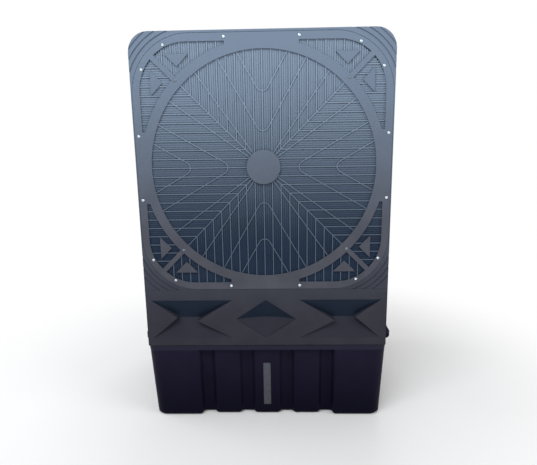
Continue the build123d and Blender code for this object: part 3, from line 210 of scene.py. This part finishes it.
METALS = {
    "screw_steel": dict(colour=(0.60, 0.68, 0.72), roughness=0.32),
    "dull_steel": dict(colour=(0.22, 0.25, 0.29), roughness=0.55),
    "bolt_steel": dict(colour=(0.56, 0.56, 0.58), roughness=0.34),
    "bearing_bronze": dict(colour=(0.55, 0.36, 0.17), roughness=0.4),
    "shaft_steel": dict(colour=(0.60, 0.60, 0.62), roughness=0.3),
    "valve_brass": dict(colour=(0.66, 0.47, 0.20), roughness=0.35),
}
PAINTS = {
    "beam_steel": dict(colour=(0.014, 0.018, 0.026), roughness=0.5),
    "motor_paint": dict(colour=(0.06, 0.07, 0.085), roughness=0.45),
}
RUBBERS = {
    "hose_rubber": dict(colour=(0.20, 0.21, 0.22), roughness=0.6),
    "gland_rubber": dict(colour=(0.018, 0.018, 0.019), roughness=0.6),
    "mark_print": dict(colour=(0.70, 0.70, 0.68), roughness=0.55),
}
WINDOWS = {"window_clear": dict(colour=(0.050, 0.052, 0.066))}
# pads: their own brown, darkened in part as painted shade of the cabinet's inside
PAPERS = {"pad_fibre": dict(colour=(0.20, 0.135, 0.070))}

# Floor and background: metres, then colour and strength
FLOOR_REACH = 14.0
FLOOR_CLEAR_RADIUS = 0.55
FLOOR_WHITE_RADIUS = 1.15
FLOOR_COLOUR = (0.86, 0.86, 0.86, 1.0)
FLOOR_ROUGHNESS = 0.8
AMBIENT_STRENGTH = 0.42

# Lamps: metres and watts
LIGHTS = {
    "key": dict(
        place=(-0.7, front_y - 1.5, 2.35), target=(0, front_y, object_top - 0.1),
        size=(1.8, 1.0), power=42.0, colour=(0.93, 0.97, 1.0),
    ),
    "fill": dict(
        place=(2.6, -1.6, 1.3), target=(0, 0, 0.5),
        size=(1.8, 1.8), power=32.0, colour=(1.0, 0.98, 0.96),
    ),
    "side": dict(
        place=(-2.7, 0.4, 1.4), target=(0, 0, 0.5),
        size=(1.8, 1.8), power=26.0, colour=(0.98, 0.99, 1.0),
    ),
    "back": dict(
        place=(0.4, 2.8, 1.8), target=(0, 0, 0.55),
        size=(2.0, 1.6), power=40.0, colour=(1.0, 1.0, 1.0),
    ),
}


def make_camera():
    """Camera at the photograph's place; the fit's axes are right, down and into the scene."""
    turn = (
        Matrix.Rotation(math.radians(CAMERA_ROLL), 3, "Z")
        @ Matrix.Rotation(math.radians(CAMERA_PITCH), 3, "X")
        @ Matrix.Rotation(math.radians(CAMERA_YAW), 3, "Y")
    )
    eye = -(turn.transposed() @ HUB_FROM_CAMERA)
    right, down, forward = [Vector((row[0], row[2], -row[1])) for row in turn]
    data = bpy.data.cameras.new("photo_camera")
    data.sensor_fit = "HORIZONTAL"
    data.sensor_width = SENSOR_WIDTH
    data.lens = FOCAL_PX / PHOTO_WIDTH * SENSOR_WIDTH
    data.shift_y = (PRINCIPAL_ROW - PHOTO_HEIGHT / 2) / PHOTO_WIDTH
    data.clip_start = CAMERA_NEAR
    camera = bpy.data.objects.new("photo_camera", data)
    pose = Matrix((right, -down, -forward)).transposed().to_4x4()
    pose.translation = Vector((0, front_y, hub_z)) + Vector((eye.x, eye.z, -eye.y))
    camera.matrix_world = pose
    bpy.context.scene.collection.objects.link(camera)
    bpy.context.scene.camera = camera


def tint(colour, factor):
    return tuple(channel * factor for channel in colour)


class Shader:
    """A material under construction: its node tree, its shader and short ways to add nodes."""

    def __init__(self, name):
        self.material = bpy.data.materials.new(name)
        self.material.use_nodes = True
        self.tree = self.material.node_tree
        self.bsdf = self.tree.nodes["Principled BSDF"]
        self.place = self.node("ShaderNodeTexCoord").outputs["Object"]

    def node(self, kind, **settings):
        made = self.tree.nodes.new(kind)
        for key, value in settings.items():
            setattr(made, key, value)
        return made

    def link(self, source, target):
        self.tree.links.new(source, target)

    def fix(self, **values):
        """Set sockets of the shader that are the same all over; _ stands for a space."""
        for key, value in values.items():
            self.bsdf.inputs[key.replace("_", " ")].default_value = value

    def stretched(self, x, y, z):
        """The object's coordinates scaled by x, y and z."""
        mapping = self.node("ShaderNodeMapping")
        mapping.inputs["Scale"].default_value = (x, y, z)
        self.link(self.place, mapping.inputs["Vector"])
        return mapping.outputs["Vector"]

    def noise(self, scale, detail, vector=None):
        made = self.node("ShaderNodeTexNoise")
        made.inputs["Scale"].default_value = scale
        made.inputs["Detail"].default_value = detail
        self.link(vector or self.place, made.inputs["Vector"])
        return made.outputs["Fac"]

    def span(self, value, start, end, low=0.0, high=1.0):
        """Low up to start, high from end on, and smooth between them."""
        made = self.node("ShaderNodeMapRange", interpolation_type="SMOOTHSTEP")
        self.link(value, made.inputs["Value"])
        made.inputs["From Min"].default_value = start
        made.inputs["From Max"].default_value = end
        made.inputs["To Min"].default_value = low
        made.inputs["To Max"].default_value = high
        return made.outputs["Result"]

    def math(self, operation, first, second):
        """Sum, product and so on of two values; each is a number or a socket."""
        made = self.node("ShaderNodeMath", operation=operation)
        for socket, value in zip(made.inputs, (first, second)):
            if isinstance(value, (int, float)):
                socket.default_value = value
            else:
                self.link(value, socket)
        return made.outputs["Value"]

    def mix(self, factor, first, second):
        """Mix of two colours; each is a colour or a socket."""
        made = self.node("ShaderNodeMix", data_type="RGBA")
        self.link(factor, made.inputs["Factor"])
        for socket, value in ((made.inputs[6], first), (made.inputs[7], second)):
            if isinstance(value, tuple):
                socket.default_value = (*value, 1.0)
            else:
                self.link(value, socket)
        return made.outputs[2]

    def mottle(self, colour, noise, first, second, spread=NOISE_SPREAD):
        """The colour, from first to second times itself as the noise rises."""
        return self.mix(self.span(noise, *spread), tint(colour, first), tint(colour, second))

    def part(self, vector, axis):
        split = self.node("ShaderNodeSeparateXYZ")
        self.link(vector, split.inputs["Vector"])
        return split.outputs[axis]

    def height(self, low, high):
        """Zero below low, one above high, by height above the floor."""
        return self.span(self.part(self.place, "Z"), low, high)

    def depth(self, near, far):
        """Zero nearer than near, one beyond far, by depth behind the grille's front."""
        return self.span(self.part(self.place, "Y"), front_y + near, front_y + far)

    def upward(self, low, high):
        """Zero below low, one above high, by the upright part of the normal."""
        normal = self.node("ShaderNodeNewGeometry").outputs["Normal"]
        return self.span(self.part(normal, "Z"), low, high)

    def rounded_edges(self, radius):
        made = self.node("ShaderNodeBevel", samples=BEVEL_SAMPLES)
        made.inputs["Radius"].default_value = radius
        return made.outputs["Normal"]

    def bump(self, height, strength, distance, edge=None):
        """Relief from a noise, over edges rounded to a radius where one is given."""
        made = self.node("ShaderNodeBump")
        made.inputs["Strength"].default_value = strength
        made.inputs["Distance"].default_value = distance
        self.link(height, made.inputs["Height"])
        if edge is not None:
            self.link(self.rounded_edges(edge), made.inputs["Normal"])
        self.link(made.outputs["Normal"], self.bsdf.inputs["Normal"])

    def colour(self, socket):
        self.link(socket, self.bsdf.inputs["Base Color"])

    def roughness(self, noise, low, high):
        self.link(self.span(noise, *NOISE_SPREAD, low, high), self.bsdf.inputs["Roughness"])


def moulded_plastic(name, colour, roughness, fade=0.0, painted_haze_span=PAINTED_HAZE_SPAN, painted_haze_colour=PAINTED_HAZE_COLOUR,
                    dust=0.25, specular=0.12, edge=0.0012, under=None, ledge_shade=None, foot=None,
                    rim=None, ribs=None):
    """Grained moulding, mottled; painted haze lightens it with height, dust lies where it looks up.

    Optional colours, by argument in order: painted shade on what looks down, painted shade on ledges
    low on the cabinet, painted shade at the tank's lowest part, the band at the tank's top, and a
    pair (low, high) for what is set back from the grille's front, dark low down and pale high up as
    painted haze.
    """
    s = Shader(name)
    base = s.mottle(colour, s.noise(scale=14.0, detail=4.0), 0.9, 1.1)
    # painted shade: darker towards the tank's bottom
    if foot:
        base = s.mix(s.height(*FOOT_SHADE_SPAN), foot, base)
    if fade:
        # painted haze: paler with height
        base = s.mix(s.math("MULTIPLY", s.height(*painted_haze_span), fade), base, painted_haze_colour)
    if rim:
        base = s.mix(s.height(*RIM_SPAN), base, rim)
    if ribs:
        # painted haze on the set-back ribs, dark low down and pale high up
        base = s.mix(s.depth(*RIB_SPAN), base, s.mix(s.height(*SLAT_SPAN), *ribs))
    # painted shade on faces that look down
    if under:
        base = s.mix(s.upward(*UNDERSIDE_SHADE_SLOPES), under, base)
    patches = s.span(s.noise(scale=30.0, detail=5.0), *DUST_SPREAD, *DUST_RANGE)
    settled = s.math("MULTIPLY", s.upward(*DUST_SLOPES), patches)
    base = s.mix(s.math("MULTIPLY", settled, dust), base, DUST_COLOUR)
    # painted shade on ledges low on the cabinet, broken into patches by noise
    if ledge_shade:
        low_down = s.math("SUBTRACT", 1.0, s.height(*LEDGE_SHADE_SPAN))
        ledges = s.math("MULTIPLY", s.upward(*LEDGE_SLOPES), low_down)
        ledge_shade_patches = s.span(s.noise(scale=18.0, detail=4.0), *LEDGE_SHADE_PATCH_SPREAD, *LEDGE_SHADE_PATCH_RANGE)
        base = s.mix(s.math("MULTIPLY", ledges, ledge_shade_patches), base, ledge_shade)
    s.colour(base)
    s.roughness(s.noise(scale=22.0, detail=5.0), roughness - 0.06, roughness + 0.06)
    s.fix(Specular_IOR_Level=specular)
    coarse = s.math("MULTIPLY", s.noise(scale=320.0, detail=2.0), 0.6)
    grain = s.math("ADD", s.noise(scale=1500.0, detail=3.0), coarse)
    s.bump(grain, strength=0.22, distance=0.0004, edge=edge)
    return s.material


def brushed_metal(name, colour, roughness):
    """Drawn or plated metal with fine lines and a few dull spots."""
    s = Shader(name)
    lines = s.noise(scale=60.0, detail=3.0, vector=s.stretched(40.0, 40.0, 4.0))
    s.colour(s.mottle(colour, s.noise(scale=120.0, detail=3.0), 1.0, 0.8, spread=SPOT_SPREAD))
    s.roughness(lines, roughness - 0.07, roughness + 0.1)
    s.fix(Metallic=1.0)
    s.bump(lines, strength=0.08, distance=0.0002, edge=0.0004)
    return s.material


def enamel(name, colour, roughness):
    """Sprayed paint with a slight orange peel."""
    s = Shader(name)
    s.colour(s.mottle(colour, s.noise(scale=18.0, detail=4.0), 0.9, 1.1))
    s.roughness(s.noise(scale=40.0, detail=4.0), roughness - 0.05, roughness + 0.08)
    s.fix(Coat_Weight=0.25)
    s.bump(s.noise(scale=420.0, detail=2.0), strength=0.15, distance=0.0004, edge=0.0008)
    return s.material


def clear_window(name, colour):
    """Frosted clear strip: paler at its top, smooth, lightly scratched down its length."""
    s = Shader(name)
    scratches = s.noise(scale=50.0, detail=4.0, vector=s.stretched(30.0, 30.0, 1.0))
    s.colour(s.mix(s.height(*WINDOW_SPAN), tint(colour, 0.9), tint(colour, 1.08)))
    s.roughness(scratches, 0.22, 0.36)
    s.fix(Specular_IOR_Level=0.4)
    s.bump(scratches, strength=0.05, distance=0.0003, edge=0.0008)
    return s.material


def cellulose(name, colour):
    """Pad paper: fibrous, darker where it has been wet."""
    s = Shader(name)
    fibres = s.noise(scale=260.0, detail=6.0, vector=s.stretched(1.0, 1.0, 3.0))
    stain = s.span(s.noise(scale=7.0, detail=4.0), *STAIN_SPREAD)
    paper = s.mottle(colour, fibres, 0.72, 1.15)
    s.colour(s.mix(s.math("MULTIPLY", stain, 0.5), paper, tint(colour, 0.45)))
    s.roughness(fibres, 0.8, 0.95)
    s.fix(Specular_IOR_Level=0.15)
    s.bump(fibres, strength=0.5, distance=0.0006)
    return s.material


def soft_rubber(name, colour, roughness):
    """Rubber, or print as dull as rubber, with a fine tooth."""
    s = Shader(name)
    s.colour(s.mottle(colour, s.noise(scale=60.0, detail=4.0), 0.8, 1.2))
    s.roughness(s.noise(scale=90.0, detail=3.0), roughness - 0.08, roughness + 0.1)
    s.fix(Specular_IOR_Level=0.3)
    s.bump(s.noise(scale=900.0, detail=3.0), strength=0.2, distance=0.0003, edge=0.0008)
    return s.material


FINISHES = (
    (moulded_plastic, PLASTICS),
    (brushed_metal, METALS),
    (enamel, PAINTS),
    (soft_rubber, RUBBERS),
    (clear_window, WINDOWS),
    (cellulose, PAPERS),
)


def make_materials():
    """A material for each of the record's slots, and those of the scene's own pieces."""
    return {name: finish(name, **look) for finish, table in FINISHES for name, look in table.items()}


def dress(obj, material):
    obj.data.materials.clear()
    obj.data.materials.append(material)


def new_piece(name, verts, faces, material, body, smooth=True):
    """A mesh piece, its faces turned outward, that rides on a body."""
    mesh = bpy.data.meshes.new(name)
    mesh.from_pydata(verts, [], faces)
    mesh.validate()
    work = bmesh.new()
    work.from_mesh(mesh)
    bmesh.ops.recalc_face_normals(work, faces=work.faces)
    work.to_mesh(mesh)
    work.free()
    for face in mesh.polygons:
        face.use_smooth = smooth
    piece = bpy.data.objects.new(name, mesh)
    bpy.context.scene.collection.objects.link(piece)
    dress(piece, material)
    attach(piece, body)
    return piece


def islands(node):
    """Low and high corners of each separate solid of a CAD node, in the order of their places."""
    work = bmesh.new()
    work.from_mesh(nodes[node].data)
    bmesh.ops.remove_doubles(work, verts=work.verts, dist=WELD_DISTANCE)
    unseen = set(work.verts)
    corners = []
    while unseen:
        group = [unseen.pop()]
        for vert in group:
            for edge in vert.link_edges:
                other = edge.other_vert(vert)
                if other in unseen:
                    unseen.remove(other)
                    group.append(other)
        low = Vector([min(v.co[k] for v in group) for k in range(3)])
        high = Vector([max(v.co[k] for v in group) for k in range(3)])
        corners.append((low, high))
    work.free()
    return sorted(corners, key=lambda pair: [round(value, PLACE_DIGITS) for value in pair[0]])


def screw_mesh(radius, length):
    """Cross-recessed pan-head screw along -Z, with its seat at the origin."""
    turns = [2 * math.pi * side / SCREW_SIDES for side in range(SCREW_SIDES)]
    verts = []
    for ring in range(1, SCREW_RINGS + 1):
        reach = radius * math.sqrt(ring / SCREW_RINGS)
        for turn in turns:
            x = reach * math.cos(turn)
            y = reach * math.sin(turn)
            z = SCREW_HEAD_HEIGHT * (1 - SCREW_DOME_SHARE * (reach / radius) ** SCREW_DOME_POWER)
            across = min(abs(x), abs(y))
            along = max(abs(x), abs(y))
            if across < SCREW_CROSS_WIDTH / 2 and along < SCREW_CROSS_LENGTH:
                z -= SCREW_CROSS_DEPTH * (1 - (along / SCREW_CROSS_LENGTH) ** SCREW_CROSS_POWER)
            verts.append((x, y, z))
    centre = len(verts)
    verts.append((0, 0, SCREW_HEAD_HEIGHT - SCREW_CROSS_DEPTH))
    lower = [(radius, 0.0), (SCREW_SHANK_RADIUS, 0.0), (SCREW_SHANK_RADIUS, -length)]
    for reach, z in lower:
        verts += [(reach * math.cos(turn), reach * math.sin(turn), z) for turn in turns]
    starts = [ring * SCREW_SIDES for ring in range(SCREW_RINGS)]
    starts += [centre + 1 + k * SCREW_SIDES for k in range(len(lower))]
    faces = []
    for inner, outer in zip(starts, starts[1:]):
        for side in range(SCREW_SIDES):
            after = (side + 1) % SCREW_SIDES
            faces.append((inner + side, outer + side, outer + after, inner + after))
    for side in range(SCREW_SIDES):
        faces.append((centre, side, (side + 1) % SCREW_SIDES))
    faces.append(tuple(reversed([starts[-1] + side for side in range(SCREW_SIDES)])))
    return verts, faces


def detailed_screws(node, axis, body, material):
    """Cross-recessed screws in place of plain ones; axis(low, high) is the way a head faces."""
    verts = []
    faces = []
    for index, (low, high) in enumerate(islands(node)):
        out = axis(low, high)
        half = (high - low) / 2
        depth = abs(half.dot(out))
        radius = max(extent for extent, part in zip(half, out) if not part)
        seat = (low + high) / 2 + out * (depth - SCREW_HEAD_HEIGHT)
        turn = out.to_track_quat("Z", "Y").to_matrix()
        spin = Matrix.Rotation(index * SCREW_TURN, 3, "Z")
        made_verts, made_faces = screw_mesh(radius, 2 * depth - SCREW_HEAD_HEIGHT)
        start = len(verts)
        verts += [seat + turn @ (spin @ Vector(v)) for v in made_verts]
        faces += [tuple(start + k for k in face) for face in made_faces]
    piece = new_piece(node + "_detailed", verts, faces, material, body)
    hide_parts(node)


def facing(x, y, z):
    direction = Vector((x, y, z))
    return lambda low, high: direction


def side_axis(low, high):
    return Vector((math.copysign(1, low.x + high.x), 0, 0))


def cabinet_screw_axis(low, high):
    """Roof screws point up, the others point out of their side."""
    if high.z > object_top - ROOF_TOLERANCE:
        return Vector((0, 0, 1))
    return side_axis(low, high)


def corrugated_pad(node, width_axis, depth_axis, body, material):
    """Stack of wavy sheets whose flutes slope up and down in turn, in the space of a pad slab."""
    low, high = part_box(node)
    width = (high - low)[width_axis]
    depth = (high - low)[depth_axis]
    height = high.z - low.z
    count = int(width / PAD_SHEET_PITCH)
    pitch = width / count
    swing = pitch / 2
    steps = int(height / PAD_WAVE * PAD_WAVE_STEPS)
    row = steps + 1
    back = row * (PAD_DEPTH_STEPS + 1)
    rim = [k * row for k in range(PAD_DEPTH_STEPS + 1)]
    rim += [PAD_DEPTH_STEPS * row + j for j in range(1, row)]
    rim += [k * row + steps for k in reversed(range(PAD_DEPTH_STEPS))]
    rim += list(reversed(range(1, steps)))
    verts = []
    faces = []
    for sheet in range(count):
        centre = low[width_axis] + pitch * (sheet + 0.5)
        slope = PAD_FLUTE_SLOPES[sheet % 2]
        start = len(verts)
        for side in (-0.5, 0.5):
            for k in range(PAD_DEPTH_STEPS + 1):
                inward = depth * k / PAD_DEPTH_STEPS
                for j in range(row):
                    z = low.z + height * j / steps
                    wave = math.sin(2 * math.pi * (z + slope * inward) / PAD_WAVE)
                    point = [0.0, 0.0, z]
                    point[width_axis] = centre + swing * wave + side * PAD_SHEET_THICKNESS
                    point[depth_axis] = low[depth_axis] + inward
                    verts.append(tuple(point))
        for k in range(PAD_DEPTH_STEPS):
            for j in range(steps):
                a = start + k * row + j
                faces.append((a, a + 1, a + row + 1, a + row))
                faces.append((back + a + row, back + a + row + 1, back + a + 1, back + a))
        for first, second in zip(rim, rim[1:] + rim[:1]):
            a = start + first
            b = start + second
            faces.append((a, b, back + b, back + a))
    piece = new_piece(node + "_sheets", verts, faces, material, body)
    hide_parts(node)


def box_faces(start):
    """Faces of a box whose eight corners, four and four, begin at an index."""
    order = ((0, 3, 2, 1), (4, 5, 6, 7), (0, 1, 5, 4), (1, 2, 6, 5), (2, 3, 7, 6), (3, 0, 4, 7))
    return [tuple(start + k for k in face) for face in order]


def fine_slats(material):
    """Thin slats behind the grille's ribs, upright above and below the hub, level at its sides."""
    verts = []
    faces = []
    pitch = RIB_PITCH / SLATS_PER_RIB
    straight = RIB_REACH - RIB_CORNER
    count = int(RIB_REACH / pitch)
    depths = (front_y + SLAT_FRONT, front_y + SLAT_BACK)
    for k in range(-count, count + 1):
        offset = k * pitch
        inner = max(abs(offset), math.sqrt(max(0.0, HUB_BOSS**2 - offset**2)))
        turned = max(0.0, abs(offset) - straight)
        outer = straight + math.sqrt(RIB_CORNER**2 - turned**2)
        if outer - inner < SLAT_SHORTEST:
            continue
        near = offset - SLAT_WIDTH / 2
        far = offset + SLAT_WIDTH / 2
        for end in (-1, 1):
            low, high = sorted((end * inner, end * outer))
            for upright in (True, False):
                start = len(verts)
                for y in depths:
                    for a, b in ((near, low), (far, low), (far, high), (near, high)):
                        x, z = (a, b) if upright else (b, a)
                        verts.append((x, y, hub_z + z))
                faces += box_faces(start)
    piece = new_piece("grille_slats", verts, faces, material, "cabinet", smooth=False)


def dial_marks(name, knob, angles, material):
    """Raised ticks on the control plate round a knob, the first longer, at the off place."""
    low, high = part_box(knob)
    centre = (low + high) / 2
    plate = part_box("control_plate")[1].x
    verts = []
    faces = []
    for index, angle in enumerate(angles):
        out = Vector((0, math.sin(math.radians(angle)), math.cos(math.radians(angle))))
        side = Vector((0, out.z, -out.y))
        length = MARK_LENGTH * (MARK_OFF_STRETCH if index == 0 else 1.0)
        start = len(verts)
        for x in (plate, plate + MARK_HEIGHT):
            for along, across in ((0, -1), (length, -1), (length, 1), (0, 1)):
                point = out * (MARK_RADIUS + along) + side * (across * MARK_WIDTH / 2)
                verts.append((x, centre.y + point.y, centre.z + point.z))
        faces += box_faces(start)
    piece = new_piece(name, verts, faces, material, "cabinet", smooth=False)


def knob_pointer(name, knob, body, material):
    """Pale line let into the top of a knob's grip."""
    low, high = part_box(knob)
    centre = (low + high) / 2
    outline = ((-1, POINTER_START), (1, POINTER_START), (1, POINTER_END), (-1, POINTER_END))
    verts = []
    for x in (high.x - MARK_HEIGHT, high.x + MARK_HEIGHT / 2):
        verts += [(x, centre.y + side * MARK_WIDTH, centre.z + along) for side, along in outline]
    piece = new_piece(name, verts, box_faces(0), material, body, smooth=False)


def seen_rays(tree):
    """One for rays that show the background: from the camera, off gloss and through glass."""
    rays = tree.nodes.new("ShaderNodeLightPath")
    seen = rays.outputs["Is Camera Ray"]
    for name in ("Is Glossy Ray", "Is Transmission Ray"):
        either = tree.nodes.new("ShaderNodeMath")
        either.operation = "MAXIMUM"
        tree.links.new(seen, either.inputs[0])
        tree.links.new(rays.outputs[name], either.inputs[1])
        seen = either.outputs["Value"]
    return seen


def make_floor():
    """Pale floor that keeps the shadow and runs out to the white of the background."""
    mesh = bpy.data.meshes.new("floor")
    corners = [(x * FLOOR_REACH, y * FLOOR_REACH, 0) for x, y in ((-1, -1), (1, -1), (1, 1), (-1, 1))]
    mesh.from_pydata(corners, [], [(0, 1, 2, 3)])
    floor = bpy.data.objects.new("floor", mesh)
    bpy.context.scene.collection.objects.link(floor)
    s = Shader("floor")
    s.fix(Base_Color=FLOOR_COLOUR, Roughness=FLOOR_ROUGHNESS)
    glow = s.node("ShaderNodeEmission")
    length = s.node("ShaderNodeVectorMath", operation="LENGTH")
    s.link(s.place, length.inputs[0])
    far = s.span(length.outputs["Value"], FLOOR_CLEAR_RADIUS, FLOOR_WHITE_RADIUS)
    blend = s.node("ShaderNodeMixShader")
    s.link(s.math("MULTIPLY", far, seen_rays(s.tree)), blend.inputs["Fac"])
    s.link(s.bsdf.outputs["BSDF"], blend.inputs[1])
    s.link(glow.outputs["Emission"], blend.inputs[2])
    s.link(blend.outputs["Shader"], s.tree.nodes["Material Output"].inputs["Surface"])
    dress(floor, s.material)


def make_world():
    """Soft ambient light; the background itself is white."""
    world = bpy.data.worlds.new("studio")
    bpy.context.scene.world = world
    world.use_nodes = True
    tree = world.node_tree
    back = tree.nodes["Background"]
    back.inputs["Color"].default_value = (1.0, 1.0, 1.0, 1.0)
    strength = tree.nodes.new("ShaderNodeMapRange")
    strength.inputs["To Min"].default_value = AMBIENT_STRENGTH
    strength.inputs["To Max"].default_value = 1.0
    tree.links.new(seen_rays(tree), strength.inputs["Value"])
    tree.links.new(strength.outputs["Result"], back.inputs["Strength"])


def area_light(name, place, target, size, power, colour):
    data = bpy.data.lights.new(name, "AREA")
    data.shape = "RECTANGLE"
    data.size, data.size_y = size
    data.energy = power
    data.color = colour
    light = bpy.data.objects.new(name, data)
    light.location = place
    aim = Vector(target) - Vector(place)
    light.rotation_mode = "QUATERNION"
    light.rotation_quaternion = aim.to_track_quat("-Z", "Y")
    bpy.context.scene.collection.objects.link(light)


make_camera()
looks = make_materials()
slots = {part["node"]: part["material_slot"] for part in frame["record"]["subparts"]}
for node, obj in nodes.items():
    dress(obj, looks[slots[node]])

detailed_screws("grille_screws", facing(0, -1, 0), "cabinet", looks["screw_steel"])
detailed_screws("ring_screws", facing(0, -1, 0), "cabinet", looks["dull_steel"])
detailed_screws("shroud_screws", facing(0, 1, 0), "cabinet", looks["screw_steel"])
detailed_screws("foot_screws", facing(0, 0, 1), "cabinet", looks["screw_steel"])
detailed_screws("handle_screws", side_axis, "cabinet", looks["screw_steel"])
detailed_screws("cabinet_screws", cabinet_screw_axis, "cabinet", looks["screw_steel"])

corrugated_pad("pad_right", 1, 0, "right_pad_panel", looks["pad_fibre"])
corrugated_pad("pad_left", 1, 0, "left_pad_panel", looks["pad_fibre"])
corrugated_pad("pad_rear", 0, 1, "rear_pad_panel", looks["pad_fibre"])

fine_slats(looks["slat_plastic"])
dial_marks("speed_marks", "speed_knob", SPEED_ANGLES, looks["mark_print"])
dial_marks("pump_marks", "pump_knob", PUMP_ANGLES, looks["mark_print"])
knob_pointer("speed_pointer", "speed_knob", "speed_dial", looks["mark_print"])
knob_pointer("pump_pointer", "pump_knob", "pump_dial", looks["mark_print"])

make_floor()
make_world()
for name, lamp in LIGHTS.items():
    area_light(name, **lamp)
bpy.context.scene.view_settings.view_transform = "Standard"
